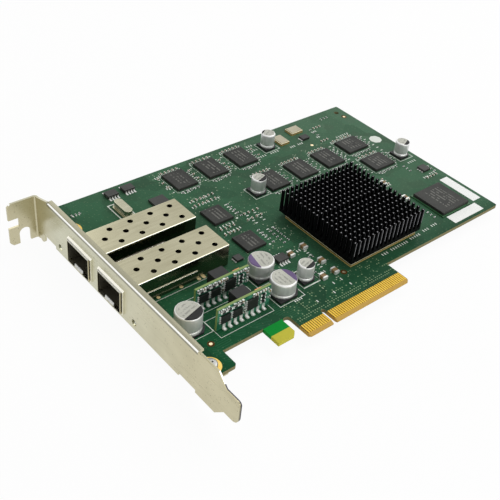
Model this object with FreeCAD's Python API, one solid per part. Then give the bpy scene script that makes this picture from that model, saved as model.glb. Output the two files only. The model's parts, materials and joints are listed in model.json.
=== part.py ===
import FreeCAD, Part
import math
import os

V = FreeCAD.Vector

# Every size is in millimetres.
# "along" is measured from the bracket's outer face, "across" from the tip of the edge connector,
# "above" from the board's component face.
# The frame's origin is on the key notch's centre line, at the connector's tip, in the board's mid-plane.

# Board
BOARD_LENGTH = 167.1
BOARD_HEIGHT = 110.95
BOARD_T = 1.57
BOARD_GAP = 0.05
BOARD_EDGE = 11.75
BOARD_CORNER = 0.7
FINGER_CHAMFER = 0.7
TAB_CHAMFER = 1.4
FOOT_CORNER = 1.2
KEY_ALONG = 58.55
KEY_WIDTH = 1.9
KEY_DEPTH = 7.3
FINGER_LEFT = 12.15
FINGER_RIGHT = 39.15
FINGER_BEVEL = 0.45
FINGER_BEVEL_RUN = 1.2
SLOT_WIDTH = 3.15
TAB_LENGTH = 8.5
TAB_DEPTH = 8.3
FOOT_LENGTH = 15.4
FOOT_DEPTH = 7.7
TOOL_HOLE_R = 1.2
TOOL_HOLE_INSET = 4.6

# Edge contacts
CONTACT_PITCH = 1.0
CONTACT_WIDTH = 0.7
CONTACT_LENGTH = 4.3
CONTACT_T = 0.06
CONTACT_KEY_STEP = 1.5
CONTACT_MARGIN = 0.6

# Bracket
SHEET = 0.86
BEND = 0.7
BRACKET_WIDTH = 18.42
FLANGE_REACH = 2.3
FLANGE_NEAR = 4.2
FLANGE_INSET = 8.7
TAB_FACE = 104.63
TAB_REACH = 11.43
TAB_WIDE = 19.1
TAB_DROP = 3.1
TAB_CLIP = 1.3
TAB_LEAD_IN = 0.6
SHOULDER_DROP = 0.5
SHOULDER_RUN = 1.4
SCREW_SLOT_R = 2.3
SCREW_SLOT_OUT = 5.2
SCREW_SLOT_DEPTH = 6.6
END_NOTCH_DEPTH = 4.2
END_NOTCH_WIDE = 3.8
END_NOTCH_UP = 10.0
TONGUE_SHOULDER = 5.7
TONGUE_CHAMFER = 4.2
TONGUE_TIP = 16.6
EAR_WIDE = 9.0
EAR_REACH = 13.6
EAR_HOLE_ALONG = 9.3
EAR_NEAR = 8.7
EAR_INSET = 9.4
LOBE_INSET = 3.6
LOBE_R = 1.7
LED_HOLE_R = 1.3
LED_LONG = 2.6
LED_WIDE = 1.7
LED_SETBACK = 0.1
LED_ABOVE = 0.65
LED_NEAR = 38.6
LED_FAR = 87.2

# Screws
SCREW_R = 1.4
SCREW_CLEAR = 0.15
SCREW_HEAD_R = 2.7
SCREW_HEAD_T = 1.5

# Ports
PORT_NEAR = 52.4
PORT_PITCH = 20.24
CAGE_WIDE = 14.3
CAGE_HIGH = 9.8
CAGE_SHEET = 0.3
CAGE_FRONT = 1.3
CAGE_REAR = 46.04
CAGE_CLEAR = 0.2
CUTOUT_GAP = 0.4
VENT_R = 1.1
VENT_FIRST = 10.19
VENT_PITCH = 8.98
VENT_SIDE = 4.05
FLAP_START = 9.6
FLAP_END = 31.7
FLAP_HIGH = 4.1
LATCH_WIDE = 5.4
LATCH_REACH = 1.3
PLUG_LENGTH = 9.2
PLUG_WIDE = 12.0
PLUG_HIGH = 5.6
PLUG_SLOT_WIDE = 10.2
PLUG_SLOT_HIGH = 1.5
PLUG_SLOT_UP = 3.0
PLUG_SLOT_DEEP = 6.0
PLUG_PITCH = 0.95
PLUG_PINS = 10

# Controller and heatsink
PACKAGE_ACROSS = 36.75
PACKAGE_SIDE = 37.4
PACKAGE_T = 1.3
LID_SIDE = 31.0
LID_T = 0.85
THERMAL_T = 0.25
SINK_ACROSS = 37.65
SINK_LONG = 39.8
SINK_WIDE = 41.0
SINK_BASE = 1.6
PIN_COUNT = 17
PIN_SIDE = 1.0
PIN_HIGH = 8.4
PIN_ROW_SHIFT = 0.6

# Chips
MEMORY_WIDE = 10.2
MEMORY_LONG = 12.3
MEMORY_T = 1.2
MEMORY_TOP_MARGIN = 11.3
MEMORY_ROW_STEP = 21.6
MEMORY_TURN_RISE = 2.3
MEMORY_TURN_PITCH = 16.7
PORT_CHIP_GAP = 10.7
PORT_CHIP_WIDE = 9.4
PORT_CHIP_LONG = 10.0
PORT_CHIP_DROP = 1.2
PROCESSOR_INSET = 19.2
PROCESSOR_UP = 15.95
PROCESSOR_SIDE = 16.8
PROCESSOR_RIM = 0.7
PROCESSOR_T = 1.25
SUBSTRATE_T = 0.55

# Capacitor cans
CAN_R = 5.0
CAN_TALL = 8.6
CAN_SHORT = 6.95
SMALL_CAN_R = 3.2
SMALL_CAN_HIGH = 7.4
CAN_BASE_T = 0.9
CAN_BASE_RIM = 0.25
CAN_GAP = 2.4
CAN_MODULE_GAP = 3.4
CAN_LEFT_GAP = 2.2
CAN_ROW_RISE = 2.6
CAN_LEFT_RISE = 6.6
SMALL_CAN_RISE = 11.75
SMALL_CAN_STEP = 1.1
SMALL_CAN_DROP = 2.3
SMALL_CAN_GAP = 1.95
SMALL_CAN_INSET = 6.3

# Upright power modules
MODULE_START = 20.9
MODULE_LONG = 23.7
MODULE_HIGH = 9.4
MODULE_T = 1.0
MODULE_FRONT = 20.1
MODULE_STEP = 12.2
MODULE_PIN_COUNT = 8
MODULE_PIN_PITCH = 2.54
MODULE_PIN_WIDE = 1.2
MODULE_PIN_T = 0.35
MODULE_PIN_HIGH = 2.1
MODULE_PIN_FOOT = 1.5
INDUCTOR_LONG = 6.5
INDUCTOR_DEEP = 5.8
INDUCTOR_HIGH = 7.8
INDUCTOR_LIFT = 0.3
INDUCTOR_SHIFT = 1.6
STRAP_LONG = 3.0
STRAP_HIGH = 6.0
STRAP_T = 0.6
STRAP_GAP = 0.6
STRAP_DROP = 0.4
MODULE_CHIP_T = 0.9
MODULE_PART_T = 0.6

# Small parts
OUTLINE_LONG = 5.1
OUTLINE_WIDE = 3.9
OUTLINE_T = 1.4
OUTLINE_LIFT = 0.15
OUTLINE_SPAN = 6.0
LEAD_PITCH = 1.27
LEAD_WIDE = 0.5
LEAD_T = 0.2
CRYSTAL_WIDE = 3.7
CRYSTAL_LONG = 10.2
CRYSTAL_RIM = 0.48
CRYSTAL_RIM_T = 0.6
CRYSTAL_HIGH = 3.4
OSCILLATOR_LONG = 6.9
OSCILLATOR_WIDE = 5.2
OSCILLATOR_T = 1.4
OSCILLATOR_INSET = 6.75
OSCILLATOR_DROP = 3.4
SQUARE_CHIP_SIDE = 7.0
SMALL_CHIP_LONG = 4.2
SMALL_CHIP_WIDE = 3.2
SMALL_CHIP_T = 1.1
SMALL_CHIP_DROP = 13.95
SMALL_CHIP_SHIFT = 6.7
OUTLINE_DROP = 1.35
CERAMIC_LONG = 3.0
CERAMIC_WIDE = 2.1
CERAMIC_T = 1.4
CERAMIC_DROPS = (0.75, 10.9, 18.1)
CERAMIC_RISE = 12.15
LABEL_T = 0.08
LABEL_LONG = 19.0
LABEL_WIDE = 4.95
LABEL_GAP = 0.4
LABEL_RISE = 1.1

# Small round holes, screws and cans are drawn with this many flats, which keeps the mesh light
ROUND_SIDES = 12
VENT_SIDES = 10
CAN_SIDES = 18

TOP = BOARD_T / 2
BOTTOM = -BOARD_T / 2
BOARD_NEAR = SHEET + BEND + BOARD_GAP
BOARD_FAR = BOARD_NEAR + BOARD_LENGTH
PLATE_LOW = BOTTOM - SHEET
PLATE_TOP = PLATE_LOW + BRACKET_WIDTH
BEND_OUT = BEND + SHEET
PORTS = {"near": PORT_NEAR, "far": PORT_NEAR + PORT_PITCH}
EAR_FAR = TAB_FACE - EAR_INSET
EAR_PLACES = (EAR_NEAR, EAR_FAR)
FLANGE_FAR = TAB_FACE - FLANGE_INSET


def share(start, end, part):
    """Place at a part of the way from start to end, so a layout follows what bounds it."""
    return start + (end - start) * part


MEMORY_FIRST = share(BOARD_NEAR, BOARD_FAR, 0.3719)
MEMORY_PITCH = BOARD_LENGTH * 0.0996
MEMORY_TURNED = share(BOARD_NEAR, BOARD_FAR, 0.8767)
PACKAGE_ALONG = share(BOARD_NEAR, BOARD_FAR, 0.6062)
SINK_NEAR = PACKAGE_ALONG - SINK_LONG / 2
SINK_FAR = PACKAGE_ALONG + SINK_LONG / 2
PROCESSOR_HALF = PROCESSOR_SIDE / 2 + PROCESSOR_RIM
PROCESSOR_ALONG = BOARD_FAR - PROCESSOR_INSET
PROCESSOR_ACROSS = BOARD_EDGE + PROCESSOR_UP
CAN_COLUMN = MODULE_START + MODULE_LONG + CAN_MODULE_GAP + CAN_R
LANE_NEAR = CAN_COLUMN + CAN_R + CAN_BASE_RIM
CAGE_TOP_EDGE = PORT_NEAR + PORT_PITCH + CAGE_WIDE / 2 + CAGE_SHEET


def spot(along, across, above=0.0):
    """Point in the frame over a place on the board's component face."""
    return V(along - KEY_ALONG, across, TOP + above)


def block(along, across, size, above=0.0):
    """Box standing on the board, centred over a place."""
    corner = spot(along - size[0] / 2, across - size[1] / 2, above)
    return Part.makeBox(size[0], size[1], size[2], corner)


def round_bar(radius, length, start, axis=V(0, 0, 1), sides=ROUND_SIDES):
    """Many-sided bar that stands for a small cylinder: its flats touch the true circle on average."""
    reach = radius / math.sqrt(math.cos(math.pi / sides))
    side = V(0, 0, 1).cross(axis) if axis.z == 0 else V(1, 0, 0)
    up = axis.cross(side)
    points = []
    for i in range(sides):
        turn = 2 * math.pi * (i + 0.5) / sides
        points.append(start.add(side * (reach * math.cos(turn))).add(up * (reach * math.sin(turn))))
    return Part.Face(Part.makePolygon(points + [points[0]])).extrude(axis * length)


def outline(corners):
    """Closed wire through corners given as (u, v, radius) in the XY plane; radius 0 keeps it sharp."""
    edges = []
    starts = []
    ends = []
    mids = []
    count = len(corners)
    for i in range(count):
        here = V(corners[i][0], corners[i][1], 0)
        back = V(corners[i - 1][0], corners[i - 1][1], 0).sub(here).normalize()
        ahead = corners[(i + 1) % count]
        on = V(ahead[0], ahead[1], 0).sub(here).normalize()
        radius = corners[i][2]
        half = back.getAngle(on) / 2
        if radius == 0:
            starts.append(here)
            mids.append(None)
            ends.append(here)
            continue
        run = radius / math.tan(half)
        middle = back.add(on).normalize()
        reach = radius / math.sin(half) - radius
        starts.append(here.add(back.multiply(run)))
        mids.append(here.add(middle.multiply(reach)))
        ends.append(here.add(on.multiply(run)))
    for i in range(count):
        if mids[i] is not None:
            edges.append(Part.Arc(starts[i], mids[i], ends[i]).toShape())
        following = starts[(i + 1) % count]
        if ends[i].distanceToPoint(following) > 1e-6:
            edges.append(Part.makeLine(ends[i], following))
    return Part.Wire(edges)


def prism(corners, thickness):
    """Flat piece with the given outline, lying on the XY plane."""
    return Part.Face(outline(corners)).extrude(V(0, 0, thickness))


def upright(shape):
    """Turns a piece drawn in XY so that its u runs along Y, its v along Z and its thickness along X."""
    turned = shape.copy()
    turned.rotate(V(0, 0, 0), V(1, 1, 1), 120)
    return turned


def angle_strip(leg_a, leg_b, width, corner, u_axis, v_axis):
    """Bent strip of the bracket's sheet: leg A runs along v, leg B along u, from the outer corner."""
    def at(u, v):
        return corner.add(u_axis * u).add(v_axis * v)
    near = 1 - math.sqrt(0.5)
    outer_mid = at(BEND_OUT * near, BEND_OUT * near)
    inner_mid = at(SHEET + BEND * near, SHEET + BEND * near)
    edges = [Part.Arc(at(0, BEND_OUT), outer_mid, at(BEND_OUT, 0)).toShape()]
    edges.append(Part.makeLine(at(BEND_OUT, 0), at(leg_b, 0)))
    edges.append(Part.makeLine(at(leg_b, 0), at(leg_b, SHEET)))
    edges.append(Part.makeLine(at(leg_b, SHEET), at(BEND_OUT, SHEET)))
    edges.append(Part.Arc(at(BEND_OUT, SHEET), inner_mid, at(SHEET, BEND_OUT)).toShape())
    if leg_a > BEND_OUT:
        edges.append(Part.makeLine(at(SHEET, BEND_OUT), at(SHEET, leg_a)))
        edges.append(Part.makeLine(at(SHEET, leg_a), at(0, leg_a)))
        edges.append(Part.makeLine(at(0, leg_a), at(0, BEND_OUT)))
    else:
        edges.append(Part.makeLine(at(SHEET, BEND_OUT), at(0, BEND_OUT)))
    face = Part.Face(Part.Wire(edges))
    return face.extrude(width)


def export(name, *solids):
    """Writes one node; several solids make a group."""
    shape = solids[0] if len(solids) == 1 else Part.makeCompound(list(solids))
    shape.exportStep("parts/" + name + ".step")


def circuit_board():
    low = BOARD_EDGE - TAB_DEPTH
    foot_low = BOARD_EDGE - FOOT_DEPTH
    left = KEY_ALONG - FINGER_LEFT
    right = KEY_ALONG + FINGER_RIGHT
    tab_far = left - SLOT_WIDTH
    corners = [
        (BOARD_NEAR, foot_low, 0),
        (BOARD_NEAR + FOOT_LENGTH, foot_low, FOOT_CORNER),
        (BOARD_NEAR + FOOT_LENGTH, BOARD_EDGE, 0),
        (tab_far - TAB_LENGTH, BOARD_EDGE, 0),
        (tab_far - TAB_LENGTH, low, 0),
        (tab_far - TAB_CHAMFER, low, 0),
        (tab_far, low + TAB_CHAMFER, 0),
        (tab_far, BOARD_EDGE, SLOT_WIDTH * 0.45),
        (left, BOARD_EDGE, SLOT_WIDTH * 0.45),
        (left, FINGER_CHAMFER, 0),
        (left + FINGER_CHAMFER, 0, 0),
        (KEY_ALONG - KEY_WIDTH / 2, 0, 0),
        (KEY_ALONG - KEY_WIDTH / 2, KEY_DEPTH, KEY_WIDTH * 0.45),
        (KEY_ALONG + KEY_WIDTH / 2, KEY_DEPTH, KEY_WIDTH * 0.45),
        (KEY_ALONG + KEY_WIDTH / 2, 0, 0),
        (right - FINGER_CHAMFER, 0, 0),
        (right, FINGER_CHAMFER, 0),
        (right, BOARD_EDGE, 0),
        (BOARD_FAR, BOARD_EDGE, BOARD_CORNER),
        (BOARD_FAR, BOARD_HEIGHT, BOARD_CORNER),
        (BOARD_NEAR, BOARD_HEIGHT, 0),
    ]
    board = prism(corners, BOARD_T)
    board.translate(V(-KEY_ALONG, 0, BOTTOM))
    cutters = []
    # Bevels that lead the finger into its socket, one on each face
    for side in (1, -1):
        face = side * BOARD_T / 2
        wedge = [V(-FINGER_LEFT - 1, -0.01, face), V(-FINGER_LEFT - 1, FINGER_BEVEL_RUN, face)]
        wedge.append(V(-FINGER_LEFT - 1, -0.01, face - side * FINGER_BEVEL))
        triangle = Part.Face(Part.makePolygon(wedge + [wedge[0]]))
        cutters.append(triangle.extrude(V(FINGER_LEFT + FINGER_RIGHT + 2, 0, 0)))
    hole_r = SCREW_R + SCREW_CLEAR
    for across in EAR_PLACES:
        cutters.append(round_bar(hole_r, BOARD_T, spot(EAR_HOLE_ALONG, across, -BOARD_T)))
    tool = spot(BOARD_FAR - TOOL_HOLE_INSET, BOARD_HEIGHT - TOOL_HOLE_INSET, -BOARD_T)
    cutters.append(round_bar(TOOL_HOLE_R, BOARD_T, tool))
    export("circuit_board", board.cut(cutters))


def edge_contacts():
    places = []
    for way, reach in ((-1, FINGER_LEFT), (1, FINGER_RIGHT)):
        count = int((reach - CONTACT_MARGIN - CONTACT_KEY_STEP) / CONTACT_PITCH) + 1
        for i in range(count):
            places.append(way * (CONTACT_KEY_STEP + i * CONTACT_PITCH))
    for name, base in (("edge_contacts_top", TOP), ("edge_contacts_bottom", BOTTOM - CONTACT_T)):
        pads = []
        for x in places:
            corner = V(x - CONTACT_WIDTH / 2, FINGER_BEVEL_RUN, base)
            pads.append(Part.makeBox(CONTACT_WIDTH, CONTACT_LENGTH, CONTACT_T, corner))
        export(name, *pads)


def bracket():
    face_x = -KEY_ALONG
    tab_low = PLATE_LOW - TAB_DROP
    tab_top = tab_low + TAB_WIDE
    bend_end = TAB_FACE + SHEET - BEND_OUT
    plate_far = bend_end - TAB_LEAD_IN
    ear = EAR_WIDE / 2
    step = BEND_OUT
    shoulder_z = PLATE_TOP - SHOULDER_DROP
    corners = [(plate_far, PLATE_LOW, 0)]
    # The plate stops short where an ear or the flange bends away
    for across in reversed(EAR_PLACES):
        corners.append((across + ear, PLATE_LOW, 0))
        corners.append((across + ear, PLATE_LOW + step, 0))
        corners.append((across - ear, PLATE_LOW + step, 0))
        corners.append((across - ear, PLATE_LOW, 0))
    low = PLATE_LOW + TONGUE_CHAMFER
    high = PLATE_TOP - TONGUE_CHAMFER
    corners.append((-TONGUE_SHOULDER, PLATE_LOW, 0))
    corners.append((-TONGUE_SHOULDER - TONGUE_CHAMFER, low, 0))
    corners.append((-TONGUE_TIP, low, 3.0))
    corners.append((-TONGUE_TIP, high, 1.5))
    corners.append((-TONGUE_SHOULDER - TONGUE_CHAMFER, high, 0))
    corners.append((-TONGUE_SHOULDER, PLATE_TOP, 0))
    corners.append((FLANGE_NEAR, PLATE_TOP, 0))
    corners.append((FLANGE_NEAR, PLATE_TOP - step, 0))
    corners.append((FLANGE_FAR, PLATE_TOP - step, 0))
    corners.append((FLANGE_FAR, PLATE_TOP, 0))
    corners.append((FLANGE_FAR + SHOULDER_RUN, shoulder_z, 0))
    corners.append((plate_far, tab_top, 0))
    plate = upright(prism(corners, SHEET))
    plate.translate(V(face_x, 0, 0))

    solids = []
    flange_run = V(0, FLANGE_FAR - FLANGE_NEAR, 0)
    start = V(face_x, FLANGE_NEAR, PLATE_TOP)
    solids.append(angle_strip(BEND_OUT, FLANGE_REACH, flange_run, start, V(1, 0, 0), V(0, 0, -1)))
    for across in EAR_PLACES:
        start = V(face_x, across - ear, PLATE_LOW)
        reach = EAR_REACH
        solids.append(angle_strip(BEND_OUT, reach, V(0, EAR_WIDE, 0), start, V(1, 0, 0), V(0, 0, 1)))
    start = V(face_x + SHEET, TAB_FACE + SHEET, tab_low)
    run = V(0, 0, TAB_WIDE)
    tab_leg = TAB_FACE + SHEET - plate_far
    tab = angle_strip(tab_leg, TAB_REACH + SHEET, run, start, V(-1, 0, 0), V(0, -1, 0))

    # Screw slot open at the tab's lower edge, and the notch in its end
    slot_x = face_x - SCREW_SLOT_OUT
    slot_top = tab_low + SCREW_SLOT_DEPTH - SCREW_SLOT_R
    deep = SHEET + 2
    slot = Part.makeCylinder(SCREW_SLOT_R, deep, V(slot_x, TAB_FACE - 1, slot_top), V(0, 1, 0))
    corner = V(slot_x - SCREW_SLOT_R, TAB_FACE - 1, tab_low - 1)
    slot = slot.fuse(Part.makeBox(2 * SCREW_SLOT_R, deep, slot_top - tab_low + 1, corner))
    corner = V(face_x - TAB_REACH - 1, TAB_FACE - 1, tab_low + END_NOTCH_UP - END_NOTCH_WIDE / 2)
    notch = Part.makeBox(END_NOTCH_DEPTH + 1, deep, END_NOTCH_WIDE, corner)
    trims = [slot, notch]
    # Clipped outer corners of the tab
    for edge_z, way in ((tab_low, 1), (tab_low + TAB_WIDE, -1)):
        points = [V(face_x - TAB_REACH, TAB_FACE - 1, edge_z)]
        points.append(V(face_x - TAB_REACH + TAB_CLIP, TAB_FACE - 1, edge_z))
        points.append(V(face_x - TAB_REACH, TAB_FACE - 1, edge_z + way * TAB_CLIP))
        trims.append(Part.Face(Part.makePolygon(points + [points[0]])).extrude(V(0, deep, 0)))
    tab = tab.cut(trims)

    # Rounded lobe below the plate next to the tab
    lobe_across = TAB_FACE - LOBE_INSET
    lobe_z = PLATE_LOW - TAB_DROP + LOBE_R
    lobe = Part.makeCylinder(LOBE_R, SHEET, V(face_x, lobe_across, lobe_z), V(1, 0, 0))
    corner = V(face_x, lobe_across - LOBE_R, lobe_z)
    lobe = lobe.fuse(Part.makeBox(SHEET, 2 * LOBE_R, PLATE_LOW - lobe_z + 1, corner))

    body = plate.fuse(solids + [tab, lobe])
    cutters = []
    for across in PORTS.values():
        wide = CAGE_WIDE + 2 * CUTOUT_GAP
        corner = V(face_x - 1, across - wide / 2, TOP - CUTOUT_GAP)
        cutters.append(Part.makeBox(SHEET + 1.2, wide, CAGE_HIGH + 2 * CUTOUT_GAP, corner))
    for across in (LED_NEAR, LED_FAR):
        start = V(face_x - 1, across, TOP + LED_ABOVE)
        cutters.append(round_bar(LED_HOLE_R, SHEET + 2, start, V(1, 0, 0)))
    for across in EAR_PLACES:
        start = spot(EAR_HOLE_ALONG, across, -BOARD_T - SHEET - 1)
        cutters.append(round_bar(SCREW_R + 0.03, SHEET + 2, start))
    body = body.cut(cutters).removeSplitter()
    export("bracket", body.Solids[0])


def screws():
    heads = []
    for across in EAR_PLACES:
        head = round_bar(SCREW_HEAD_R, SCREW_HEAD_T, spot(EAR_HOLE_ALONG, across))
        shank = BOARD_T + SHEET
        heads.append(head.fuse(round_bar(SCREW_R, shank, spot(EAR_HOLE_ALONG, across, -shank))))
    export("bracket_screws", *heads)


def cage(side, across):
    front = -CAGE_FRONT
    length = CAGE_REAR + CAGE_FRONT
    middle = (CAGE_REAR - CAGE_FRONT) / 2
    inner_wide = CAGE_WIDE - 2 * CAGE_SHEET
    flap_long = FLAP_END - FLAP_START
    flap_middle = (FLAP_START + FLAP_END) / 2
    plug_front = CAGE_REAR - CAGE_SHEET - CAGE_CLEAR - PLUG_LENGTH

    # Cover: top, two sides and the back, open below and in front
    wall_high = CAGE_HIGH - CAGE_SHEET
    cover = block(middle, across, (length, CAGE_WIDE, wall_high), CAGE_SHEET)
    hollow = block(middle - CAGE_SHEET, across, (length, inner_wide, wall_high), 0)
    cutters = [hollow]
    for i in range(4):
        row = VENT_FIRST + i * VENT_PITCH
        half_step = row + VENT_PITCH / 2
        for along, off in ((row, 0), (half_step, VENT_SIDE), (half_step, -VENT_SIDE)):
            vent = spot(along, across + off, CAGE_HIGH - 2 * CAGE_SHEET)
            cutters.append(round_bar(VENT_R, 3 * CAGE_SHEET, vent, sides=VENT_SIDES))
    export(side + "_cage_cover", cover.cut(cutters))

    # Base: floor under the walls, a latch tongue on it at the mouth and two flaps up the sides
    floor_end = plug_front - CAGE_CLEAR
    floor_long = floor_end - front
    base = block(front + floor_long / 2, across, (floor_long, CAGE_WIDE, CAGE_SHEET))
    size = (LATCH_REACH, LATCH_WIDE, CAGE_SHEET)
    latch = block(front + LATCH_REACH / 2, across, size, CAGE_SHEET)
    wide = CAGE_WIDE + 2 * CAGE_SHEET
    skirt = block(flap_middle, across, (flap_long, wide, FLAP_HIGH))
    skirt = skirt.cut(block(flap_middle, across, (flap_long, CAGE_WIDE, FLAP_HIGH), CAGE_SHEET))
    export(side + "_cage_base", base.fuse([latch, skirt]).removeSplitter())

    # Receptacle at the back, with a slot that takes the plug's edge
    plug_middle = plug_front + PLUG_LENGTH / 2
    plug = block(plug_middle, across, (PLUG_LENGTH, PLUG_WIDE, PLUG_HIGH))
    slot_middle = plug_front + PLUG_SLOT_DEEP / 2
    size = (PLUG_SLOT_DEEP, PLUG_SLOT_WIDE, PLUG_SLOT_HIGH)
    plug = plug.cut(block(slot_middle, across, size, PLUG_SLOT_UP))
    export(side + "_port_connector", plug)

    pins = []
    for i in range(PLUG_PINS):
        y = across + (i - (PLUG_PINS - 1) / 2) * PLUG_PITCH
        pins.append(block(slot_middle + 0.5, y, (PLUG_SLOT_DEEP - 1.0, 0.5, 0.3), PLUG_SLOT_UP))
    export(side + "_port_contacts", *pins)


def status_leds():
    leds = []
    for across in (LED_NEAR, LED_FAR):
        middle = BOARD_NEAR + LED_SETBACK + LED_LONG / 2
        leds.append(block(middle, across, (LED_LONG, LED_WIDE, 2 * LED_ABOVE)))
    export("status_leds", *leds)


def pin_steps(length):
    """Middles of the pins along one side of the heatsink, from its centre."""
    pitch = (length - PIN_SIDE) / (PIN_COUNT - 1)
    return [(i - (PIN_COUNT - 1) / 2) * pitch for i in range(PIN_COUNT)]


def controller():
    export("network_package", block(PACKAGE_ALONG, PACKAGE_ACROSS, (PACKAGE_SIDE, PACKAGE_SIDE, PACKAGE_T)))
    export("network_lid", block(PACKAGE_ALONG, PACKAGE_ACROSS, (LID_SIDE, LID_SIDE, LID_T), PACKAGE_T))
    above = PACKAGE_T + LID_T
    export("thermal_pad", block(PACKAGE_ALONG, PACKAGE_ACROSS, (LID_SIDE, LID_SIDE, THERMAL_T), above))
    above = above + THERMAL_T
    high = SINK_BASE + PIN_HIGH
    sink = block(PACKAGE_ALONG, SINK_ACROSS, (SINK_LONG, SINK_WIDE, high), above)
    columns = pin_steps(SINK_LONG)
    rows = pin_steps(SINK_WIDE)
    # The middle row stands a little aside, which leaves a wider channel for a clip
    rows[PIN_COUNT // 2] += PIN_ROW_SHIFT
    channels = []
    for i in range(PIN_COUNT - 1):
        size = (columns[i + 1] - columns[i] - PIN_SIDE, SINK_WIDE + 2, PIN_HIGH + 1)
        along = PACKAGE_ALONG + (columns[i] + columns[i + 1]) / 2
        channels.append(block(along, SINK_ACROSS, size, above + SINK_BASE))
        size = (SINK_LONG + 2, rows[i + 1] - rows[i] - PIN_SIDE, PIN_HIGH + 1)
        across = SINK_ACROSS + (rows[i] + rows[i + 1]) / 2
        channels.append(block(PACKAGE_ALONG, across, size, above + SINK_BASE))
    export("heatsink", sink.cut(channels))


def memory_places():
    """Centre and footprint of each memory chip, the last two turned a quarter."""
    upper = BOARD_HEIGHT - MEMORY_TOP_MARGIN
    lower = upper - MEMORY_ROW_STEP
    places = []
    for i in range(3):
        places.append((MEMORY_FIRST + i * MEMORY_PITCH, upper, MEMORY_WIDE, MEMORY_LONG))
    for i in range(3):
        places.append((MEMORY_FIRST + (i + 2) * MEMORY_PITCH, lower, MEMORY_WIDE, MEMORY_LONG))
    first = lower + MEMORY_TURN_RISE
    for i in range(2):
        places.append((MEMORY_TURNED, first - i * MEMORY_TURN_PITCH, MEMORY_LONG, MEMORY_WIDE))
    return places


def chips():
    for i, (along, across, wide, long) in enumerate(memory_places()):
        export("memory_chip_" + str(i + 1), block(along, across, (wide, long, MEMORY_T)))
    along = CAGE_REAR + PORT_CHIP_GAP + PORT_CHIP_WIDE / 2
    for i, side in enumerate(("far", "near")):
        size = (PORT_CHIP_WIDE, PORT_CHIP_LONG, MEMORY_T)
        export("port_chip_" + str(i + 1), block(along, PORTS[side] - PORT_CHIP_DROP, size))
    size = (2 * PROCESSOR_HALF, 2 * PROCESSOR_HALF, SUBSTRATE_T)
    export("processor_substrate", block(PROCESSOR_ALONG, PROCESSOR_ACROSS, size))
    size = (PROCESSOR_SIDE, PROCESSOR_SIDE, PROCESSOR_T)
    export("processor_body", block(PROCESSOR_ALONG, PROCESSOR_ACROSS, size, SUBSTRATE_T))


def can_places():
    """Centre, radius and height of each capacitor can."""
    memory = memory_places()
    row = MODULE_FRONT + MODULE_STEP + CAN_ROW_RISE
    left = MODULE_START - CAN_LEFT_GAP - CAN_R
    places = [(left, MODULE_FRONT + CAN_LEFT_RISE, CAN_R, CAN_TALL)]
    places.append((CAN_COLUMN, row, CAN_R, CAN_SHORT))
    places.append((CAN_COLUMN, row - 2 * CAN_R - CAN_GAP, CAN_R, CAN_SHORT))
    small = (SMALL_CAN_R, SMALL_CAN_HIGH)
    places.append((share(LANE_NEAR, SINK_NEAR, 0.28), BOARD_EDGE + SMALL_CAN_RISE) + small)
    places.append((memory[2][0] + MEMORY_PITCH, memory[2][1] + SMALL_CAN_STEP) + small)
    beside = memory[3][0] - MEMORY_WIDE / 2 - SMALL_CAN_R - SMALL_CAN_GAP
    places.append((beside, memory[3][1] - SMALL_CAN_DROP) + small)
    places.append((BOARD_FAR - SMALL_CAN_INSET, memory[7][1] - SMALL_CAN_STEP) + small)
    return places


def capacitors():
    bases = []
    for i, (along, across, radius, high) in enumerate(can_places()):
        edge = radius * 0.12
        can = round_bar(radius, high - CAN_BASE_T, spot(along, across, CAN_BASE_T), sides=CAN_SIDES)
        rim = [e for e in can.Edges if e.BoundBox.ZMin > TOP + high - edge]
        export("capacitor_can_" + str(i + 1), can.makeChamfer(edge, rim))
        half = radius + CAN_BASE_RIM
        clip = half * 0.45
        corners = [(-half, -half, 0), (half - clip, -half, 0), (half, -half + clip, 0)]
        corners += [(half, half - clip, 0), (half - clip, half, 0), (-half, half, 0)]
        base = prism(corners, CAN_BASE_T)
        base.translate(spot(along, across))
        bases.append(base)
    export("capacitor_bases", *bases)


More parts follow.
